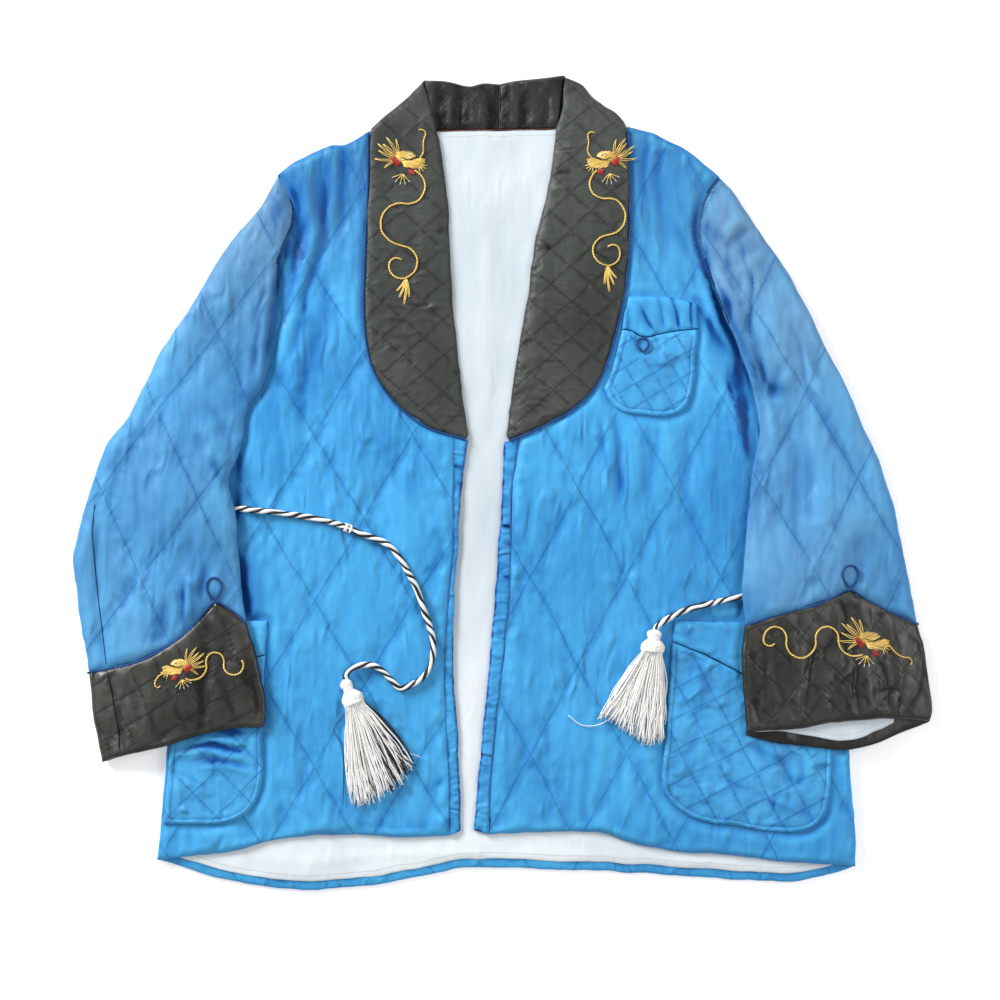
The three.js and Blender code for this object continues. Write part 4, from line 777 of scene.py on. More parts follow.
def lighter(colour, times, plus=0.0):
    return tuple(min(1.0, times * c + plus) for c in colour[:3]) + (1.0,)


def satin(name, colour, faded, dark, roughness, sheen, streak=0.12, stitch=0.55, top_stitch=None,
          quilted=True, puckers=0.5, thread=None, gloss=0.5, creases=0.0012, crease_scale=46.0,
          stretch=(1.5, 0.6, 1.0), deepest_shade=None):
    """Satin: slubs and streaks (partly painted sheen), faded parts, stitch lines, painted shade in the folds
    with painted highlight on crests, weave and fine creases.
    """
    n = Nodes(name)
    s = n.shader
    quilt = n.attribute("quilt", "Vector")
    parts = n.add("ShaderNodeSeparateXYZ", {0: quilt})
    away = []
    for k in (0, 1):
        share = n.math("DIVIDE", parts.outputs[k], parts.outputs[2])
        off = n.math("ABSOLUTE", n.math("SUBTRACT", share, n.math("ROUND", share)))
        away.append(n.math("MULTIPLY", off, parts.outputs[2]))
    line = n.math("MINIMUM", away[0], away[1])
    rim = n.attribute("rim", "Fac")
    fade = n.attribute("fade", "Fac")
    painted_shading = n.attribute("shade", "Fac")
    base = n.mix(n.math("MINIMUM", n.math("MAXIMUM", fade, 0.0), 1.0), colour, faded)
    broad = n.noise(7.0, 2.0)
    base = n.mix(n.ramp(broad, 0.35, 0.7, 0.0, 0.35), base, dark)
    # Lighter streaks along the warp: partly the weave's own uneven tone and partly painted sheen.
    warp = n.noise(32.0, 5.0, (7.0, 0.4, 1.0), 0.65)
    base = n.mix(n.ramp(warp, 0.35, 0.75, 0.0, streak), base, lighter(colour, 1.35))
    slub = n.noise(120.0, 3.0, (8.0, 0.35, 1.0), 0.7)
    base = n.mix(n.ramp(slub, 0.55, 0.8, 0.0, streak), base, dark)
    if quilted:
        uneven = n.ramp(n.noise(34.0, 3.0), 0.3, 0.7, 0.45, 1.0)
        for k in (0, 1):
            dash = n.math("MULTIPLY_ADD", n.math("SINE", n.math("MULTIPLY", parts.outputs[1 - k], 2.3)),
                          0.3, 0.7)
            share = n.math("MULTIPLY", n.math("MULTIPLY", n.ramp(away[k], 0.25, 0.8, stitch, 0.0), dash),
                           uneven)
            base = n.mix(share, base, thread or dark)
        # A soft darkening beside each line: painted shade in the groove that the stitches pull down.
        base = n.mix(n.math("MULTIPLY", n.ramp(line, 0.4, 2.6, 0.3 * stitch, 0.0), uneven), base,
                     thread or dark)
    # Painted shade from the shade attribute: first the dark colour, then the deepest one at its core; below 0
    # the attribute gives a painted highlight instead.
    base = n.mix(n.math("MULTIPLY", painted_shading, 1.35, clamp=True), base, dark)
    base = n.mix(n.math("MULTIPLY_ADD", painted_shading, 1.7, -0.85, clamp=True), base, deepest_shade or dark)
    base = n.mix(n.math("MULTIPLY", painted_shading, -0.9, clamp=True), base, lighter(colour, 1.9, 0.02))
    if top_stitch:
        at, sewn, share = top_stitch
        near = n.math("ABSOLUTE", n.math("SUBTRACT", rim, at))
        base = n.mix(n.ramp(near, 0.3, 0.8, share, 0.0), base, sewn)
    n.put(s.inputs["Base Color"], base)
    n.put(s.inputs["Roughness"], n.ramp(n.noise(60.0, 3.0, (3.0, 0.6, 1.0)), 0.3, 0.7, roughness - 0.06,
                                        roughness + 0.07))
    s.inputs["Sheen Weight"].default_value = sheen
    s.inputs["Sheen Roughness"].default_value = 0.35
    s.inputs["Sheen Tint"].default_value = lighter(colour, 1.0, 0.1)
    s.inputs["Anisotropic"].default_value = 0.45
    s.inputs["Specular IOR Level"].default_value = gloss
    coords = n.add("ShaderNodeTexCoord").outputs["Object"]
    weave = n.add("ShaderNodeTexWave", {"Vector": coords, "Scale": 520.0, "Distortion": 0.6, "Detail": 1.0},
                  bands_direction="Y").outputs["Fac"]
    normal = n.bump(weave, 0.00012, 0.18)
    turned = n.add("ShaderNodeMapping", {"Vector": coords, "Scale": stretch}).outputs[0]
    ridge = n.add("ShaderNodeTexNoise", {"Vector": turned, "Scale": crease_scale, "Detail": 3.0,
                                         "Roughness": 0.5, "Distortion": 0.6},
                  noise_type="RIDGED_MULTIFRACTAL").outputs["Fac"]
    patches = n.ramp(n.noise(13.0, 2.0), 0.38, 0.66, 0.25, 1.0)
    normal = n.bump(n.math("MULTIPLY", ridge, patches), creases, 1.0, normal)
    normal = n.bump(n.noise(75.0, 4.0, (1.6, 0.55, 1.0), 0.55), 0.0011, puckers, normal)
    for k in (0, 1) if quilted else ():
        whole = n.math("ROUND", n.math("DIVIDE", parts.outputs[k], parts.outputs[2]))
        across = n.add("ShaderNodeCombineXYZ", {0: n.math("MULTIPLY", parts.outputs[1 - k], 0.24),
                                                1: n.math("MULTIPLY", whole, 7.3)})
        ripple = n.add("ShaderNodeTexNoise", {"Vector": across.outputs[0], "Scale": 1.0,
                                              "Detail": 2.0}).outputs["Fac"]
        normal = n.bump(n.math("MULTIPLY", ripple, n.ramp(away[k], 0.4, 6.5, 1.0, 0.0)), 0.0011, 0.8,
                        normal)
    if quilted:
        normal = n.bump(n.ramp(line, 0.0, 1.4), 0.0003, 0.4, normal)
    n.put(s.inputs["Normal"], normal)
    return n.material


def thread_material(name, colour, dark, roughness=0.5, sheen=0.3, metallic=0.0, scale=900.0, gloss=0.5):
    n = Nodes(name)
    s = n.shader
    fibre = n.noise(scale, 3.0)
    patch = n.noise(90.0, 2.0)
    base = n.mix(n.ramp(fibre, 0.35, 0.7, 0.0, 0.5), colour, dark)
    base = n.mix(n.ramp(patch, 0.45, 0.75, 0.0, 0.35), base, dark)
    n.put(s.inputs["Base Color"], base)
    n.put(s.inputs["Roughness"], n.ramp(fibre, 0.3, 0.7, roughness - 0.08, roughness + 0.1))
    s.inputs["Sheen Weight"].default_value = sheen
    s.inputs["Metallic"].default_value = metallic
    s.inputs["Specular IOR Level"].default_value = gloss
    n.put(s.inputs["Normal"], n.bump(fibre, 0.0003, 0.5))
    return n.material


LINE_BLUE = rgb(20, 92, 152)
# The darkest colour of the painted shade in the blue satins.
DEEP_SHADE_BLUE = rgb(0, 46, 104)
BLUE_CLOTH = dict(sheen=0.0, stitch=0.7, thread=LINE_BLUE, deepest_shade=DEEP_SHADE_BLUE)
BLUE = satin("blue_satin", rgb(70, 163, 222), rgb(62, 122, 170), rgb(10, 92, 170), 0.45,
             streak=0.14, creases=0.0052, gloss=0.17, **BLUE_CLOTH)
BAND_BLUE = satin("band_satin", rgb(66, 155, 214), rgb(62, 122, 170), rgb(8, 80, 156), 0.43, quilted=False,
                  streak=0.24, creases=0.006, crease_scale=70.0, stretch=(0.45, 1.3, 1.0), gloss=0.17,
                  **BLUE_CLOTH)
POCKET_BLUE = satin("pocket_satin", rgb(74, 168, 226), rgb(70, 138, 188), rgb(8, 84, 164), 0.38,
                    top_stitch=(5.6, rgb(18, 78, 140), 0.35), streak=0.14, creases=0.007,
                    crease_scale=44.0, stretch=(1.0, 1.0, 1.0), gloss=0.22, **BLUE_CLOTH)
DULL_BLUE, SLEEVE_BLUE = (
    satin(name, colour, faded, dark, 0.46, streak=0.12, creases=0.0052, crease_scale=42.0, gloss=0.17,
          **BLUE_CLOTH)
    for name, colour, faded, dark in (
        ("dull_blue_satin", rgb(76, 152, 208), rgb(96, 132, 158), rgb(14, 82, 148)),
        ("faded_blue_satin", rgb(84, 155, 209), rgb(128, 154, 171), rgb(16, 86, 154)),
    ))
CHARCOAL = satin("charcoal_satin", rgb(53, 57, 54), rgb(72, 77, 74), rgb(20, 21, 19), 0.5, 0.2, stitch=0.7,
                 top_stitch=(4.2, rgb(104, 52, 44), 0.18), gloss=0.34, creases=0.0026, crease_scale=64.0,
                 stretch=(0.6, 1.3, 1.0))
CUFF_CHARCOAL = satin("cuff_satin", rgb(40, 41, 36), rgb(62, 63, 57), rgb(5, 5, 4), 0.4, 0.15, stitch=0.7,
                      top_stitch=(3.6, rgb(8, 8, 8), 0.5), gloss=0.5, creases=0.006, crease_scale=34.0,
                      stretch=(1.3, 0.6, 1.0))
NECK = satin("neck_satin", rgb(27, 28, 26), rgb(44, 46, 42), rgb(4, 4, 4), 0.5, 0.1, streak=0.03,
             stitch=0.8, puckers=0.4, gloss=0.32, creases=0.0036, crease_scale=36.0,
             stretch=(1.3, 0.8, 1.0))
# The lining's lighter second colour is painted light, used towards the hem.
LINING = satin("white_lining", rgb(206, 216, 223), rgb(233, 240, 244), rgb(176, 190, 202), 0.6, 0.1,
               streak=0.1, quilted=False, top_stitch=(6.0, rgb(170, 178, 186), 0.4), puckers=0.25,
               gloss=0.4, creases=0.0012)
NAVY = thread_material("navy_cord", rgb(16, 78, 146), rgb(6, 34, 78), 0.6, 0.1, gloss=0.3)
WHITE_YARN = thread_material("white_yarn", rgb(252, 251, 248), rgb(226, 226, 224), 0.6)
BLACK_YARN = thread_material("black_yarn", rgb(12, 12, 14), rgb(3, 3, 4), 0.6, 0.05)
GOLD = thread_material("gold_thread", rgb(250, 218, 122), rgb(206, 158, 66), 0.36, 0.1, 0.1)
RED = thread_material("red_thread", rgb(186, 26, 22), rgb(110, 10, 10))
GOLD_TIE = thread_material("gold_tie", rgb(206, 154, 58), rgb(140, 92, 28), 0.4, 0.1)
EYE_WHITE = thread_material("white_thread", rgb(240, 240, 236), rgb(200, 200, 200))
# Dark seam threads: the seam itself and painted shade in its groove or under its edge, drawn in near-black
# navy and black.
SEAM_DARK = thread_material("seam_dark", rgb(8, 40, 84), rgb(2, 14, 34), 0.8, 0.0, gloss=0.1)
SEAM_BLUE = thread_material("seam_blue", rgb(36, 116, 182), rgb(16, 66, 124))
SEAM_BLACK = thread_material("seam_black", rgb(12, 12, 11), rgb(4, 4, 4), 0.8, 0.0, gloss=0.1)
SEAM_RED = thread_material("seam_thread", rgb(112, 58, 46), rgb(60, 28, 24), 0.8, 0.0, gloss=0.1)


# ---- Ropes and threads ----
def frames_along(path):
    """Tangent, sideways and upward directions along a path."""
    tangent = np.gradient(path, axis=0)
    tangent /= np.linalg.norm(tangent, axis=1)[:, None] + 1e-12
    side = np.cross(tangent, [0, 0, 1.0])
    side /= np.linalg.norm(side, axis=1)[:, None] + 1e-12
    return tangent, side, np.cross(side, tangent)


def tube_faces(rings, sides):
    """Faces of a closed tube of rings, with its two ends."""
    faces = []
    for i in range(rings - 1):
        for k in range(sides):
            a, b = i * sides + k, i * sides + (k + 1) % sides
            faces.append((a, b, b + sides, a + sides))
    faces.append(tuple(range(sides))[::-1])
    faces.append(tuple(range((rings - 1) * sides, rings * sides)))
    return faces


def rings_along(path, radii, sides, across, up):
    """Points of the rings round a path."""
    angle = 2 * np.pi * np.arange(sides) / sides
    round_it = np.cos(angle)[None, :, None] * across[:, None] + np.sin(angle)[None, :, None] * up[:, None]
    return (path[:, None] + radii * round_it).reshape(-1, 3)


def tube(path, radius, sides, taper=None):
    """Points and faces of a closed tube along a path."""
    path = np.asarray(path, float)
    _, side, up = frames_along(path)
    radii = np.full(len(path), float(radius)) * (1 if taper is None else taper)
    return rings_along(path, radii[:, None, None], sides, side, up), tube_faces(len(path), sides)


def tube_round(path, radius, sides):
    """A tube along a loop, with its rings turned towards the loop's centre."""
    centre = path[:-1].mean(0)
    tangent = np.gradient(path, axis=0)
    tangent /= np.linalg.norm(tangent, axis=1)[:, None]
    out = path - centre
    out -= tangent * (out * tangent).sum(1)[:, None]
    out /= np.linalg.norm(out, axis=1)[:, None]
    return rings_along(path, radius, sides, out, np.cross(tangent, out)), tube_faces(len(path), sides)


def gather(parts):
    """One list of points and faces from several, with each part's material index."""
    co, faces, index, base = [], [], [], 0
    for points, fs, k in parts:
        co.append(points)
        faces += [tuple(v + base for v in f) for f in fs]
        index += [k] * len(fs)
        base += len(points)
    return np.vstack(co), faces, index


def rope(path, strands, pitch, sides, step, uneven=0.0, seed=0):
    """Strands wound round a path: each is its distance from the middle, its radius and its material index."""
    line = spline(path, step)
    run = np.concatenate([[0], np.cumsum(np.linalg.norm(np.diff(line, axis=0), axis=1))])
    _, side, up = frames_along(line)
    parts = []
    for k, (inner, thick, material) in enumerate(strands):
        turn = 2 * np.pi * (run / pitch + k / len(strands)) + 6 * uneven * noise(run, run * 0, 19, seed)
        centre = line + inner * (np.cos(turn)[:, None] * side + np.sin(turn)[:, None] * up)
        taper = 1 + uneven * noise(run, run * 0 + 90 * k, 9, seed + k)
        points, faces = tube(centre, thick, sides, taper)
        parts.append((points, faces, material))
    return gather(parts), line


# ---- Belt cords and tassels ----
for side in SIDES:
    route = [(x, y, UNDER_SLEEVE) for x, y in CORD_HIDDEN[side]]
    route += [(x, y, OPEN_CORD) for x, y in CORD_OPEN[side]] + CORD_END[side]
    strands = [(1.3, 1.75, 0), (1.85, 1.4, 1), (1.3, 1.75, 0), (1.85, 1.25, 1)]
    (co, faces, index), line = rope(route, strands, 34.0, 8, 1.1, 0.26, 5)
    if side == "right":
        knot = np.argmin(np.hypot(line[:, 0] + 154, line[:, 1] + 45))
        tangent, across, up = (v[knot] for v in frames_along(line))
        turns = np.linspace(0, 2 * np.pi, 25)[:, None]
        for at, tilt in ((-2.4, 0.5), (0.2, -0.6), (2.6, 0.4)):
            wrap = (line[knot] + tangent * (at + tilt * 3 * np.sin(turns))
                    + 3.4 * (across * np.cos(turns) + up * np.sin(turns)))
            points, wound = tube_round(wrap, 1.1, 6)
            faces = faces + [tuple(v + len(co) for v in f) for f in wound]
            index = index + [0] * len(wound)
            co = np.vstack([co, points])
    cord = make(f"belt_rope_{side}", co, faces, WHITE_YARN, material_index=index, others=[BLACK_YARN])
    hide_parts(f"belt_cord_{side}")
    PIECES[f"belt_rope_{side}"] = {"obj": cord, "line": line}

TASSELS = {
    "right": dict(top=(-157.4, -196), foot=(-147, -220), neck=12, skirt=20,
                  ends=[(-150, -312), (-141, -324), (-128, -318), (-112, -310), (-99, -300), (-90, -286),
                        (-88, -278)],
                  strays=[[(-150, -222), (-163, -238), (-168, -246), (-160, -262), (-158, -300),
                           (-159, -321)],
                          [(-140, -226), (-118, -250), (-96, -268), (-80, -274)]], black=0.13),
    "left": dict(top=(152.2, -146), foot=(150, -168), neck=15, skirt=22,
                 ends=[(96, -234), (112, -240), (124, -248), (137, -258), (148, -262), (157, -258),
                       (159, -246)],
                 strays=[[(140, -178), (126, -196), (114, -212), (102, -230), (95, -236)],
                         [(144, -190), (120, -222), (100, -240), (80, -242), (66, -232)]], black=0.0),
}
rng = np.random.RandomState(3)
for side, t in TASSELS.items():
    top, foot = np.array(t["top"], float), np.array(t["foot"], float)
    axis = foot - top
    length = np.linalg.norm(axis)
    along = axis / length
    across = np.array([-along[1], along[0]])
    ends = spline(t["ends"], 1.0)
    if across @ (ends[-1] - ends[0]) < 0:
        across = -across
    lift = 11.9 + 0.3 * t["skirt"]
    parts = []
    shares = np.linspace(0, 1, 30)
    radius = np.interp(shares, [0, 0.06, 0.16, 0.3, 0.36, 0.44, 0.5, 0.72, 1.0],
                       [0.12, 0.34, 0.48, 0.46, 0.36, 0.36, 0.5, 0.52 * t["skirt"] / t["neck"],
                        0.5 * t["skirt"] / t["neck"]]) * t["neck"]
    sides = 40
    angle = 2 * np.pi * np.arange(sides) / sides
    ridge = 1 + 0.07 * np.cos(angle * 14)[None] + 0.05 * rng.uniform(-1, 1, (len(shares), sides))
    ring = radius[:, None] * ridge
    head = np.stack([
        top[0] + along[0] * length * shares[:, None] + across[0] * ring * np.cos(angle),
        top[1] + along[1] * length * shares[:, None] + across[1] * ring * np.cos(angle),
        lift + 0.6 * ring * np.sin(angle) * np.ones((len(shares), 1)),
    ], 2).reshape(-1, 3)
    parts.append((head, tube_faces(len(shares), sides), 0))
    for wrap in range(4):
        at = top + along * length * (0.36 + 0.035 * wrap)
        turn = np.linspace(0, 2 * np.pi, 25)
        r = 0.38 * t["neck"] + 0.4
        path = np.stack([at[0] + across[0] * r * np.cos(turn), at[1] + across[1] * r * np.cos(turn),
                         lift + 0.62 * r * np.sin(turn)], 1)
        points, f = tube(path, 0.55, 5)
        parts.append((points, f, 0))
    for i in range(TASSEL_STRANDS):
        share = (i + rng.uniform(-0.4, 0.4)) / TASSEL_STRANDS
        share = min(1.0, max(0.0, share))
        end = ends[int(share * (len(ends) - 1))] + rng.uniform(-1, 1, 2) * 3.0
        layer = rng.uniform(-1, 1)
        root = foot + across * (share - 0.5) * 0.85 * t["skirt"] + rng.uniform(-0.8, 0.8, 2)
        start = root - along * 0.35 * length
        kept = 1 - abs(rng.normal(0, 0.07))
        bend = across * rng.normal(0, 3.2)
        s = np.array([0, 0.08, 0.25, 0.45, 0.65, 0.85, 1.0])
        flat = root + (end - root) * (s * kept)[:, None] + bend * np.sin(np.pi * s)[:, None]
        flat = flat + across * rng.normal(0, 1.1, (7, 1)) * s[:, None]
        high = lift + layer * 0.22 * t["skirt"]
        z = high + (13.2 + rng.uniform(0, 1) * 6.0 * (1 - abs(share - 0.5)) - high) * np.sqrt(s)
        path = np.vstack([[start[0], start[1], lift + layer * 0.18 * t["neck"]],
                          np.column_stack([flat, z])])
        path = spline(path, 6.0)
        points, f = tube(path, rng.uniform(0.55, 0.85), 4, np.linspace(1.0, 0.8, len(path)))
        dark = t["black"] and layer < 0.3 and rng.uniform() < (0.6 if share > 0.6 else 0.06)
        parts.append((points, f, 1 if dark else 0))
    for k, stray in enumerate(t["strays"]):
        flat = spline(stray, 4.0)
        path = np.column_stack([flat, np.full(len(flat), 13.8)])
        path[0, 2] = lift
        points, f = tube(path, 0.5, 3)
        parts.append((points, f, 1 if t["black"] and k == 0 else 0))
    co, faces, index = gather(parts)
    tassel = make(f"tassel_{side}", co, faces, WHITE_YARN, material_index=index, others=[BLACK_YARN])
    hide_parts(f"belt_tassel_{side}")
    rope_piece = PIECES[f"belt_rope_{side}"]
    line = rope_piece["line"] * MM
    total = float(np.linalg.norm(np.diff(line, axis=0), axis=1).sum())
    tuple(line[0])


# ---- Body cloth ----
RINGS = {name: outline(name) for name in (
    "collar_right", "collar_left", "sleeve_right_top", "sleeve_left_top", "cuff_right_top",
    "cuff_left_under",
    "patch_pocket_right", "patch_pocket_left", "patch_pocket_band_right", "patch_pocket_band_left",
    "chest_pocket", "chest_pocket_band")}


def top_of(wall, quilt, puff, reach, pucker, cell, folds, seed, rim=0.35, radius=4.0, mask=None, grain=0.35,
           lumps=0.0, seam=None, dents=0.5, dent_cell=15, roll=0.0, sewn=None):
    """The upper side of a quilted sheet: wall, wadding, puckers, folds, dents and rolled edges."""
    def build(sheet, base):
        x, y, d = sheet.x, sheet.y, sheet.d
        gate = smooth(d / (1.6 * radius))
        rise, drawn, lines = quilt_rise(x, y, quilt, seed, reach, pucker, cell)
        relief = puff * rise * (1 + 0.25 * noise(x, y, 70, seed + 3)) + drawn
        relief = (relief + fold_rise(x, y, folds, seed + 7) + grain * noise(x * 1.6, y * 0.45, 9, seed + 9)
                  + grain * noise(x, y, 34, seed + 13))
        relief = relief + lumps * np.exp(-d / 9) * noise(x, y, 13, seed + 15)
        streak = noise(x + 6 * noise(x, y, 60, seed + 17), y * 0.16, 10, seed + 19)
        relief = relief + 1.1 * grain * (1 - 2 * np.abs(streak)) * (0.5 + 0.5 * noise(x, y, 45, seed + 21))
        relief = relief + dents * crumple(x, y, dent_cell, seed + 25)
        free = 1.0 if sewn is None else smooth((to_line(x, y, sewn)[0] - 3.0) / 4.0)
        relief = relief + roll * free * (np.exp(-(((d - 2.4) / 1.7) ** 2))
                                         - 0.9 * np.exp(-(((d - 5.6) / 1.3) ** 2)))
        if mask is not None:
            gate = gate * mask(x, y)
        edge = rim if seam is None else np.where(y > seam, 0.95, rim)
        if seam is not None:
            sewn_edge = np.exp(-((np.abs(to_line(x, y, BAND_SEAM[side_of(x)])[0] - 7) / 6) ** 2))
            relief = relief + 1.0 * sewn_edge * (0.6 * crumple(x, y, 7, seed + 31, 1.5)
                                                 + 0.5 * noise(x * 0.4, y, 6, seed + 32))
            low = np.exp(-(((y + 340 + 6 * noise(x, y, 40, 44)) / 12) ** 2))
            relief = relief + 1.7 * low * noise(x, y * 0.3, 20, seed + 33)
        upper = base + wall * profile(d, radius, edge) + gate * relief
        attributes = {"quilt": lines}
        if sewn is not None:
            attributes["rim"] = d + 30 * (1 - free)
        return np.maximum(upper, base + 0.25), attributes
    return build


def body_mask(side):
    """1 where a front lies open, 0 under the pieces that lie on it."""
    names = [n for n in RINGS if side in n or (side == "left" and "chest" in n)]
    rings = [RINGS[n] for n in names]
    return lambda x, y: covered(x, y, rings, 1.5, 9)


# Darker and greyer towards the shoulders, with streaks.
def front_tone(x, y):
    shoulder = smooth((y - 150) / 180) * (0.9 + 0.3 * noise(x, y, 40, 62))
    return shoulder + 0.16 * noise(x * 2.2, y * 0.5, 60, 61)


def sleeve_fade(side):
    def fade(x, y):
        high = smooth((y - 60) / 220)
        if side == "right":
            low = smooth((110 - y) / 160) * (0.5 + 0.5 * noise(x * 2, y * 0.6, 50, 71))
            return 0.1 + 0.72 * high + 0.3 * low
        outer = smooth((x - 260) / 120)
        return 0.12 + 0.75 * high * (0.45 + 0.55 * outer) + 0.2 * noise(x * 1.6, y * 0.6, 45, 72)
    return fade


for k, side in enumerate(SIDES):
    cloth(f"front_{side}_cloth", f"front_{side}", 3.0, flat_at(FRONT_FLOOR),
          top_of(4.0, QUILTS[f"front_{side}"], 2.3, 22, 0.75, 9, FOLDS[f"front_{side}"], 100 + 100 * k,
                 mask=body_mask(side), lumps=2.2, seam=HEM_SEAM, dents=0.75, dent_cell=22), BLUE,
          fade=front_tone, shades=SHADES[f"front_{side}"])


def band_top(sheet, base):
    x, y, d = sheet.x, sheet.y, sheet.d
    seam_x, seam_y = np.array(BAND_SEAM[side_of(x, -30)], float).T
    sheet.free = np.abs(x - np.interp(y, seam_y, seam_x)) > 7
    pucker = 1.1 * crumple(x, y, 6.5, 41, 1.5)
    pucker = pucker + 0.5 * noise(x * 0.4, y, 5.5, 42) + 0.5 * noise(x, y, 24, 43)
    upper = base + 4.3 * profile(d, 5.0, np.where(sheet.free, 0.3, 0.95)) + smooth(d / 2.4) * pucker
    # Painted shade: the band's shade rows, a dark line along the free edge, a darker strip along the sewn
    # edge, and shade in the puckers' troughs with painted highlight on their crests.
    edge = 0.75 * sheet.free * smooth(1.7 - d / 1.6) * (0.75 + 0.5 * noise(x * 0.3, y, 3, 45))
    drawn = np.maximum(shade(x, y, SHADES["band"]), np.clip(edge, 0, 1))
    seam = 0.4 * (1 - sheet.free) * smooth(1.6 - d / 1.4) * (0.6 + 0.7 * noise(x * 0.3, y, 4, 46))
    shaded = np.clip(drawn + seam - 0.22 * pucker, -0.5, 1)
    return upper, {"quilt": far_from_lines(len(x)), "rim": d + 30, "shade": shaded}


for side in SIDES:
    cloth(f"front_band_{side}_cloth", f"front_band_{side}", 1.8, flat_at(FRONT_FLOOR), band_top, BAND_BLUE,
          fade=front_tone)


def back_top(sheet, base):
    x, y, d = sheet.x, sheet.y, sheet.d
    pucker = 0.5 * noise(x, y, 9, 51) + 0.4 * noise(x, y, 22, 52)
    lines = quilt_rise(x, y, QUILTS["back"], 53, 22, 0, 9)[2]
    return (4.0 * profile(d, 4.0, 0.4) + smooth(d / 4) * smooth((12 - d) / 4) * (pucker - 0.3),
            {"quilt": lines})


def back_bottom(sheet):
    return np.minimum(relax(Heights("back", False)(sheet.x, sheet.y), sheet.edges, 6), 2.8)


cloth("back_cloth", "back", 5.0, back_bottom, back_top, BLUE)


def lining_top(sheet, base):
    x, y, d = sheet.x, sheet.y, sheet.d
    fronts = [outline(f"front_{part}") for part in ("right", "left", "band_right", "band_left")]
    shown = covered(x, y, fronts, 0, 10)
    relief = 0.5 * noise(x, y, 40, 81) + 0.35 * noise(x, y * 0.5, 14, 82)
    relief = relief + fold_rise(x, y, FOLDS["lining"], 83)
    upper = base + profile(d, 2.0, 0.4) + shown * smooth(d / 6) * np.clip(relief + 0.5, 0, 2.0)
    return upper, {"quilt": far_from_lines(len(x))}


# The second colour lightens the lining towards the hem: painted light against the shadow of the fronts.
cloth("lining_cloth", "back_lining", 4.0, flat_at(LINING_FLOOR), lining_top, LINING,
      relief_shading=0.3, fade=lambda x, y: smooth((40 - y) / 380) + 0.1 * noise(x, y * 0.4, 30, 84))

for k, side in enumerate(SIDES):
    cloth(f"collar_{side}_cloth", f"collar_{side}", 2.0, lying_on(f"collar_{side}", 10),
          top_of(3.2, QUILTS[f"collar_{side}"], 0.75, 8, 0.3, 5, FOLDS[f"collar_{side}"], 300 + 100 * k,
                 radius=4.5, rim=0.3, grain=0.18, lumps=1.0, dents=0.45, dent_cell=13), CHARCOAL,
          fade=lambda x, y: 0.4 + 0.5 * noise(x, y, 55, 63), relief_shading=0.8, shades=SHADES[f"collar_{side}"])


def plain_top(wall, radius=3.0):
    return lambda sheet, base: (base + wall * profile(sheet.d, radius, 0.5), {})


SLEEVE_TOP = {"right": DULL_BLUE, "left": SLEEVE_BLUE}
CUFF_DENTS = {"right": 1.2, "left": 1.9}
for k, side in enumerate(SIDES):
    cloth(f"sleeve_{side}_under_cloth", f"sleeve_{side}_under", 7.0, lying_on(f"sleeve_{side}_under", 4),
          plain_top(2.5), SLEEVE_BLUE, fade=sleeve_fade(side))
    cloth(f"sleeve_{side}_cloth", f"sleeve_{side}_top", 2.7, lying_on(f"sleeve_{side}_top", 40),
          top_of(3.4, QUILTS[f"sleeve_{side}"], 2.2, 20, 0.7, 9, FOLDS[f"sleeve_{side}"], 500 + 100 * k,
                 radius=8.0, rim=0.1, lumps=1.4, dents=0.8, dent_cell=24), SLEEVE_TOP[side],
          fade=sleeve_fade(side), shades=SHADES[f"sleeve_{side}"])
    cloth(f"cuff_{side}_under_cloth", f"cuff_{side}_under", 5.0, lying_on(f"cuff_{side}_under", 4),
          plain_top(3.3), CUFF_CHARCOAL)
    cloth(f"cuff_{side}_cloth", f"cuff_{side}_top", 2.0, lying_on(f"cuff_{side}_top", 16),
          top_of(3.8, QUILTS[f"cuff_{side}"], 0.9, 8, 0.35, 5, FOLDS[f"cuff_{side}"], 700 + 100 * k,
                 radius=5.5, rim=0.15, grain=0.25, lumps=1.3, dents=CUFF_DENTS[side], dent_cell=15),
          CUFF_CHARCOAL, relief_shading=0.95, shades=SHADES[f"cuff_{side}"],
          fade=lambda x, y: 0.35 + 0.5 * noise(x, y, 40, 64))
cloth("cuff_lining_cloth", "cuff_lining_left", 3.0, lying_on("cuff_lining_left", 6),
      lambda sheet, base: (base + profile(sheet.d, 2.0, 0.5) + 0.4 * noise(sheet.x, sheet.y, 9, 66), {}),
      LINING)


def band_relief(gather_width, seed, mask=None):
    """The upper side of a pocket's gathered band."""
    def build(sheet, base):
        x, y, d = sheet.x, sheet.y, sheet.d
        wave = np.sin(np.pi * (x + 0.4 * y + 5 * noise(x, y, 20, seed)) / gather_width)
        relief = 0.9 * wave * smooth(0.5 + noise(x, y, 26, seed + 1)) + 0.6 * noise(x, y * 0.5, 7, seed + 2)
        gate = smooth(d / 5) * (1 if mask is None else mask(x, y))
        upper = base + 3.0 * profile(d, 3.5, 0.35) + gate * (relief + 0.7)
        return np.maximum(upper, base + 0.25), {"quilt": far_from_lines(len(x)), "rim": d + 30}
    return build


PIPED_INSETS = (0.5, 1.4, 2.6, 4.0, 5.4, 6.8)


def sleeve_mask(side):
    rings = [RINGS[f"sleeve_{side}_top"], RINGS["cuff_right_top"] if side == "right"
             else RINGS["cuff_left_under"]]
    return lambda x, y: covered(x, y, rings, 1.0, 8)


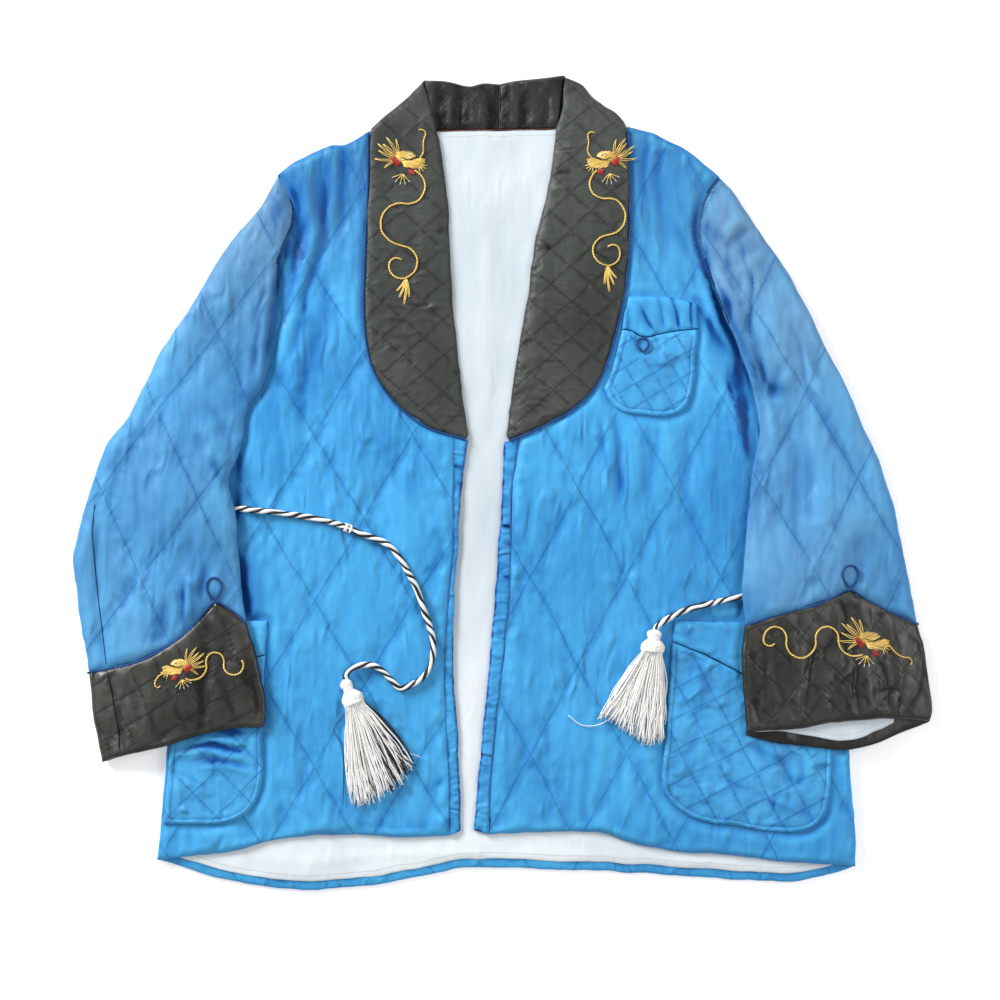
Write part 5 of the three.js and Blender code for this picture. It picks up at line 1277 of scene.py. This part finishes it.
for k, side in enumerate(SIDES):
    cloth(f"patch_pocket_{side}_cloth", f"patch_pocket_{side}", 2.4, flat_at(POCKET_FLOOR),
          top_of(3.0, QUILTS[f"pocket_{side}"], 1.0, 11, 0.4, 5, FOLDS[f"pocket_{side}"], 900 + 100 * k,
                 radius=3.0, mask=sleeve_mask(side), lumps=0.3, dents=1.9, dent_cell=14, roll=0.7,
                 sewn=POCKET_EDGE[side]),
          POCKET_BLUE, fade=lambda x, y: 0.15 + 0.1 * noise(x, y, 40, 65),
          shades=SHADES[f"pocket_{side}"], insets=PIPED_INSETS)
    cloth(f"patch_pocket_band_{side}_cloth", f"patch_pocket_band_{side}", 2.4, flat_at(POCKET_FLOOR),
          band_relief(11, 67, sleeve_mask(side)), POCKET_BLUE)
cloth("chest_pocket_cloth", "chest_pocket", 1.8, flat_at(POCKET_FLOOR),
      top_of(3.0, QUILTS["chest"], 0.8, 8, 0.3, 4, FOLDS["chest"], 1100, radius=2.6, lumps=0.3,
             dents=0.9, dent_cell=12, roll=0.6, sewn=CHEST_EDGE), POCKET_BLUE,
      shades=SHADES["chest"], insets=PIPED_INSETS)
cloth("chest_pocket_band_cloth", "chest_pocket_band", 1.8, flat_at(POCKET_FLOOR), band_relief(8, 68), BLUE,
      shades=SHADES["chest_band"])


# ---- The collar behind the neck ----
def neck(side):
    """Half of the collar's inside behind the neck, from its seam up over the top edge and down behind."""
    top = spline(NECK_TOP[side], 1.2)
    count = len(top)
    share = np.linspace(0, 1, count)

    def across(rows):
        line = spline(rows, 0.5)
        return line[np.round(share * (len(line) - 1)).astype(int)]

    low, fall = across(NECK_SEAM[side]), across(NECK_FALL[side])
    outer, inner = [], []
    stand_rows = 26
    for k in range(stand_rows + 1):
        t = k / stand_rows
        p = low * (1 - t) + top * t
        x, y = p[:, 0], p[:, 1]
        lean = x + 0.06 * (y - 375) * np.sign(x)
        wave = noise(lean, y * 0.12, 10.5, 31) + 0.45 * noise(lean, y * 0.16, 4.6, 32)
        sunk = 1 - 0.8 * np.exp(-(((x + 2.35) / 2.2) ** 2))
        ends = smooth(t / 0.16) * smooth((1.12 - t) / 0.2)
        gathers = (1.5 + 1.9 * wave + 0.6 * crumple(x, y, 9, 35)) * sunk * ends
        height = 2.8 + 2.6 * (0.45 + 0.55 * sunk) + gathers
        if k == stand_rows:
            height = height * 0 + 4.6
        outer.append(np.column_stack([x, y, np.maximum(height, 3.3)]))
        inner.append(np.column_stack([x, y - (0.8 if k == stand_rows else 0), np.full(count, 2.85)]))
    outer.append(np.column_stack([top + np.array([0, 1.0]), np.full(count, 2.7)]))
    outer.append(np.column_stack([top + np.array([0, 0.4]), np.full(count, 0.9)]))
    for k in range(9):
        t = k / 8
        p = (top - [0, 1.5]) * (1 - t) + fall * t
        outer.append(np.column_stack([p, np.full(count, 0.0)]))
        inner.append(np.column_stack([(top - [0, 2.0]) * (1 - t) + fall * t, np.full(count, 2.5)]))
    rows = outer + inner[::-1]
    n = len(rows)
    co = np.vstack(rows)
    x, y = co[:, 0], co[:, 1]
    co[:, 0] = np.where(np.abs(x + 2.35) < 0.6, x, shift(x, y)[0])
    faces = [(r * count + i, r * count + i + 1, ((r + 1) % n) * count + i + 1, ((r + 1) % n) * count + i)
             for r in range(n) for i in range(count - 1)]
    faces += [tuple(r * count for r in range(n))[::-1], tuple(r * count + count - 1 for r in range(n))]
    if side == "left":
        faces = [f[::-1] for f in faces]
    size = len(co)
    lines = quilt_rise(x, y, (10, 10, -2.3, 378, 0), 34, 5, 0, 4)[2]
    # The shade attribute is painted shade in the troughs of the gathers and painted highlight on their
    # crests, from nearly the same wave as their height.
    obj = make(f"neck_{side}_cloth", co, faces, NECK,
               {"rim": np.full(size, 20.0), "quilt": lines, "fade": 0.3 + 0.5 * noise(x, y, 30, 33),
                "shade": np.clip(0.1 - 1.9 * noise(x, y * 0.12, 10.5, 31), -0.8, 0.95)})
    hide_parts(f"collar_{side}_neck")
    return obj


for side in SIDES:
    neck(side)


# ---- Piping and loops ----
def piping(name, node, path, radius, pitch=3.6):
    strand = (0.5 * radius, 0.54 * radius, 0)
    (co, faces, index), _ = rope(path, [strand] * 3, pitch, 6, 0.6 if len(path) < 12 else 0.9, 0.05, 9)
    obj = make(name, co, faces, NAVY, material_index=index)
    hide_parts(node)


def height_at(x, y, piece, other=12.0):
    hits = [PIECES[name]["tree"].ray_cast(Vector((x, y, 100)), Vector((0, 0, -1)))[0] for name in piece]
    hits = [hit.z for hit in hits if hit is not None]
    return max(hits) if hits else other


def on_surface(rows, piece, lift):
    line = spline(rows, 4.0)
    out = []
    for x, y in line:
        out.append((x, y, height_at(x, y, piece, out[-1][2] - lift if out else 12.0) + lift))
    out = np.array(out)
    for _ in range(2):
        out[1:-1, 2] = 0.5 * out[1:-1, 2] + 0.25 * (out[:-2, 2] + out[2:, 2])
    return out


for side in SIDES:
    outer = spline(COLLAR_OUTER[side], 6.0)
    _, across, _ = frames_along(np.column_stack([outer, np.zeros(len(outer))]))
    if (across[len(across) // 2, 0] > 0) != (side == "left"):
        across = -across
    path = np.column_stack([outer + 1.2 * across[:, :2], np.full(len(outer), PIPING_LEVEL)])
    piping(f"collar_piping_{side}_cord", f"collar_piping_{side}", path, 1.3)
    cuff = on_surface(CUFF_UPPER[side], [f"cuff_{side}_cloth", f"sleeve_{side}_cloth"], 0.9)
    piping(f"cuff_piping_{side}_cord", f"cuff_piping_{side}", cuff, 1.3)


def loop(name, node, key, pieces, lift):
    x, y, wide, high = LOOPS[key]
    half = [(0.1, 0.0), (0.42, 0.35), (0.5, 0.7), (0.22, 1.0)]
    rows = [(x - a * wide, y + b * high) for a, b in half]
    rows += [(x + a * wide, y + b * high) for a, b in half[::-1]]
    path = on_surface(rows, pieces, lift)
    piping(name, node, path, 1.25, 3.4)


for side in SIDES:
    loop(f"cuff_loop_{side}_cord", f"cuff_loop_{side}", side,
         [f"sleeve_{side}_cloth", f"cuff_{side}_cloth"], 1.3)
loop("chest_loop_cord", "chest_loop", "chest", ["chest_pocket_cloth", "chest_pocket_band_cloth"], 1.1)


def edging(name, points, pieces, radius, material=SEAM_DARK):
    """A fine twisted thread that lies on cloth along a seam or an edge; a near-black one also stands for
    painted shade there.
    """
    path = on_surface(np.stack(shift(*np.array(points, float).T), 1), pieces, 0.35)
    (co, faces, index), _ = rope(path, [(0.4 * radius, 0.6 * radius, 0)] * 2, 4.0, 5, 0.9, 0.1, 13)
    obj = make(name, co, faces, material, material_index=index)


for side in SIDES:
    edging(f"pocket_edge_{side}", POCKET_EDGE[side],
           [f"patch_pocket_{side}_cloth", f"patch_pocket_band_{side}_cloth"], 0.6)
edging("sleeve_back_seam", SLEEVE_SEAM, ["sleeve_right_cloth", "cuff_right_cloth"], 0.45)
edging("cuff_back_seam", CUFF_SEAM, ["cuff_right_cloth"], 0.5, SEAM_BLACK)
for side, seam in BAND_SEAM.items():
    edging(f"band_seam_{side}", seam, [f"front_{side}_cloth", f"front_band_{side}_cloth"], 0.55,
           SEAM_BLUE)
for side, rows in ARMHOLES.items():
    edging(f"armhole_{side}", rows, [f"front_{side}_cloth", f"sleeve_{side}_cloth"], 0.7,
           SEAM_DARK)
    line = spline(rows, 4.0)
    allowance = np.column_stack([*shift(line[:, 0], line[:, 1]), np.full(len(line), 7.8)])
    (co, faces, index), _ = rope(allowance, [(1.0, 1.3, 0)] * 2, 4.0, 5, 1.4)
    make(f"armhole_allowance_{side}", co, faces, SEAM_BLUE, material_index=index)
edging("chest_edge", CHEST_EDGE, ["chest_pocket_cloth", "chest_pocket_band_cloth"], 0.7)
(co, faces, index), _ = rope(NECK_LINE, [(0.3, 0.38, 0)] * 2, 4.0, 5, 0.9, 0.2, 14)
make("neck_seam", co, faces, SEAM_RED, material_index=index)


# ---- Embroidery: a dragon of couched gold cord and satin stitch on each lapel and cuff ----
DRAGONS = {
    "collar_right": dict(at=(-95, 322), mirror=1, scale=1.02, start=(8, -10), heading=-25,
                         arcs=[(17, -165), (20, 165), (60, 12), (16, -160), (12, -110), (7, -120)],
                         tail=0.8, whisker=((13, 3), 40, [(9, 60), (22, -35), (4, 150)])),
    "collar_left": dict(at=(103, 322), mirror=-1, scale=1.0, start=(8, -10), heading=-30,
                        arcs=[(15, -155), (18, 166), (60, 8), (15, -164), (12, -110), (7, -120)], tail=0.8,
                        whisker=((13, 3), 30, [(9, 75), (20, -30), (4, 150)])),
    "cuff_left": dict(at=(367, -158), mirror=1, scale=1.05, start=(-8, -12), heading=206,
                      arcs=[(16, -118), (11, 192), (14, -200), (11, 200), (6, 130)], tail=None,
                      whisker=((15, -1), -30, [(14, -30), (18, 60), (4, -140)])),
    "cuff_right": dict(at=(-322, -184), mirror=-1, scale=0.9, start=(-8, -12), heading=206,
                       arcs=[(16, -126), (10, 200), (11, -196), (6, -40)], tail=None,
                       whisker=((15, -3), -60, [(14, 30), (12, -60), (3, -150)])),
}
# Satin-stitched shapes of the head: corners, direction of the stitches in degrees, material index
HEAD = [
    ([(-12, 3), (-9, 8), (-2, 9.5), (5, 8), (9, 4), (2, 1), (-6, -1)], 25, 0),
    ([(-5, -1), (5, 1), (13, 2.5), (18, 1), (16, -5), (8, -8), (-2, -6.5)], -18, 0),
    ([(-15, 3), (-11, 4), (-6, -2), (-9, -6), (-14, -2)], 80, 1),
    ([(1, -9), (6, -9), (8, -13), (3, -14)], 60, 1),
    ([(1, 6.5), (4, 7), (5.5, 4.5), (3, 3), (0.5, 4)], 0, 2),
]
MANE = [(84, 15, 0.2), (106, 19, 0.25), (128, 16, 0.1), (148, 20, -0.1), (168, 16, -0.2), (190, 18, -0.25),
        (212, 12, 0.1)]


def scroll(start, heading, arcs):
    """Arcs joined end to end, each a radius and a turn in degrees."""
    (x, y), angle = start, math.radians(heading)
    rows = [(x, y)]
    for radius, turn in arcs:
        steps = max(2, int(abs(turn) / 12))
        bend = math.radians(turn) / steps
        for _ in range(steps):
            angle += bend / 2
            x += 2 * radius * math.sin(abs(bend) / 2) * math.cos(angle)
            y += 2 * radius * math.sin(abs(bend) / 2) * math.sin(angle)
            angle += bend / 2
            rows.append((x, y))
    return np.array(rows)


def stitch_rows(ring, degrees, gap, rng):
    """Parallel stitches that fill an outline."""
    c, s = math.cos(math.radians(degrees)), math.sin(math.radians(degrees))
    turned = np.array(ring, float) @ np.array([[c, -s], [s, c]])
    rows = []
    for v in np.arange(turned[:, 1].min() + gap / 2, turned[:, 1].max(), gap):
        hits = []
        for (ax, ay), (bx, by) in zip(turned, np.roll(turned, -1, 0)):
            if (ay > v) != (by > v):
                hits.append(ax + (v - ay) * (bx - ax) / (by - ay))
        if len(hits) > 1:
            ends = np.array([[min(hits) - rng.uniform(0, 0.8), v],
                             [max(hits) + rng.uniform(0, 0.8), v + rng.uniform(-0.3, 0.3)]])
            rows.append(ends @ np.array([[c, s], [-s, c]]))
    return rows


def dragon(key, seed):
    """One dragon: satin-stitched head, rays, whisker, claw, and a body of couched cord."""
    d = DRAGONS[key]
    piece = [f"{key}_cloth"]
    rng = np.random.RandomState(seed)
    parts = []

    def placed(points):
        p = np.array(points, float) * d["scale"]
        return np.column_stack([d["at"][0] + d["mirror"] * p[:, 0], d["at"][1] + p[:, 1]])

    def thread(points, radius, material, low=0.25, crown=0.7):
        p = placed(points)
        z = np.array([height_at(x, y, piece) for x, y in p])
        t = np.linspace(0, 1, len(p))
        path = np.column_stack([p, z + low + crown * np.sin(np.pi * t) ** 0.7])
        parts.append((*tube(path, radius, 5), material))

    def couched(points, seed, radius=0.52):
        p = spline(placed(points), 1.3)
        p = p + 0.35 * np.column_stack([noise(p[:, 0], p[:, 1], 6, seed),
                                        noise(p[:, 0], p[:, 1], 6, seed + 1)])
        z = np.array([height_at(x, y, piece) for x, y in p])
        path = np.column_stack([p, z + 0.85])
        (co, faces, index), line = rope(path, [(0.95 * radius, radius, 0)] * 2, 5.5, 5, 1.1, 0.08, seed)
        parts.append((co, faces, 0))
        _, across, _ = frames_along(line)
        for k in range(3, len(line) - 2, 5):
            wide, low = 1.35 * across[k], [0, 0, 0.6]
            tie = np.array([line[k] - wide - low, line[k] + [0, 0, 0.75], line[k] + wide - low])
            parts.append((*tube(tie, 0.22, 4), 4))
        return line

    for ring, degrees, material in HEAD:
        for a, b in stitch_rows(ring, degrees, 0.95, rng):
            thread([a, a * 0.67 + b * 0.33, a * 0.33 + b * 0.67, b], 0.5, material)
    for a, b in (([-3, 1], [5, 0.4]), ([4, 1], [11, 3.4]), ([2, 5.8], [4, 4.2]), ([-6, 3], [-1, 1.5])):
        a, b = np.array(a, float), np.array(b, float)
        thread([a, (a + b) / 2, b], 0.42, 3, 0.9, 0.5)
    for degrees, reach, bend in MANE:
        turn = math.radians(degrees + rng.uniform(-4, 4))
        for off in (-0.5, 0.5):
            t = np.linspace(0, 1, 6)[:, None]
            way = np.array([math.cos(turn), math.sin(turn)])
            side = np.array([-math.sin(turn), math.cos(turn)])
            bow = off * np.sin(np.pi * (0.15 + 0.85 * t)) * 1.8 + bend * reach * t**2
            thread([-9, 2] + way * (4 + t * reach) + side * bow, 0.36, 0)
    for degrees in (-75, -50, -28, -8):
        t = np.linspace(0, 1, 3)[:, None]
        thread([11, -4] + direction(degrees) * (3 + t * 6), 0.45, 0)
    couched(scroll(*d["whisker"]), seed + 2, 0.4)
    for degrees in (-160, -132, -104, -76, -50):
        t = np.linspace(0, 1, 4)[:, None]
        thread([-4, -13] + direction(degrees) * (0.5 + t * 8), 0.4, 0)
        thread([-4, -13] + direction(degrees) * (8.2 + t * 3), 0.34, 2)
    line = couched(scroll(d["start"], d["heading"], d["arcs"]), seed + 4)
    if d["tail"]:
        at = line[int(d["tail"] * (len(line) - 1))]
        local = (at[:2] - d["at"]) / d["scale"] * [d["mirror"], 1]
        for degrees, reach in ((-122, 15), (-106, 20), (-92, 26), (-78, 19)):
            t = np.linspace(0, 1, 6)[:, None]
            for off in (-0.6, 0.6):
                thread(local + direction(degrees) * (t * reach) + [off, 0] + 0.8 * np.sin(4 * t) * [1, 0],
                       0.5, 0)
    co, faces, index = gather(parts)
    make(f"embroidery_{key}", co, faces, GOLD, material_index=index,
         others=[RED, EYE_WHITE, BLACK_YARN, GOLD_TIE])


for number, key in enumerate(DRAGONS):
    dragon(key, 2000 + 40 * number)

# ---- Floor and light ----
floor_nodes = Nodes("floor")
for socket, value in (("Base Color", (0.9, 0.9, 0.9, 1)), ("Emission Color", (1, 1, 1, 1)),
                      ("Emission Strength", 0.35)):
    floor_nodes.shader.inputs[socket].default_value = value
mottle = floor_nodes.ramp(floor_nodes.noise(3.0), 0.3, 0.7, 0.75, 0.85)
floor_nodes.put(floor_nodes.shader.inputs["Roughness"], mottle)
floor_mesh = bpy.data.meshes.new("floor")
corners = [(-1, -1), (1, -1), (1, 1), (-1, 1)]
floor_mesh.from_pydata([(6 * x, 6 * y, -0.0004) for x, y in corners], [], [(0, 1, 2, 3)])
floor_mesh.materials.append(floor_nodes.material)
floor = bpy.data.objects.new("floor", floor_mesh)
bpy.context.scene.collection.objects.link(floor)

world = bpy.data.worlds.new("world")
world.use_nodes = True
world.node_tree.nodes["Background"].inputs[0].default_value = (1, 1, 1, 1)
world.node_tree.nodes["Background"].inputs[1].default_value = 0.43
bpy.context.scene.world = world


def area_light(name, place, size, power):
    data = bpy.data.lights.new(name, "AREA")
    data.shape = "RECTANGLE"
    data.size, data.size_y = size
    data.energy = power
    light = bpy.data.objects.new(name, data)
    light.location = place
    light.rotation_euler = (Vector((0, 0, 0)) - Vector(place)).to_track_quat("-Z", "Y").to_euler()
    bpy.context.scene.collection.objects.link(light)


area_light("key", (-2.2, 1.8, 1.3), (1.1, 1.1), 128)
area_light("fill", (1.9, 0.4, 1.8), (1.4, 1.6), 26)
bpy.context.scene.view_settings.view_transform = "Standard"
bpy.context.scene.view_settings.look = "None"


# ---- Sizes of the pieces' cuts ----
def cut_size(ring):
    """Width and length of the smallest rectangle round an outline."""
    best = None
    for degrees in range(0, 90, 2):
        c, s = math.cos(math.radians(degrees)), math.sin(math.radians(degrees))
        turned = ring @ np.array([[c, -s], [s, c]])
        size = turned.max(0) - turned.min(0)
        if best is None or size[0] * size[1] < best[0] * best[1]:
            best = size
    return sorted(float(v) * MM for v in best)


for name, piece in PIECES.items():
    if "sheet" in piece:
        size = cut_size(piece["sheet"].ring)
        min(piece["area"], size[0] * size[1])
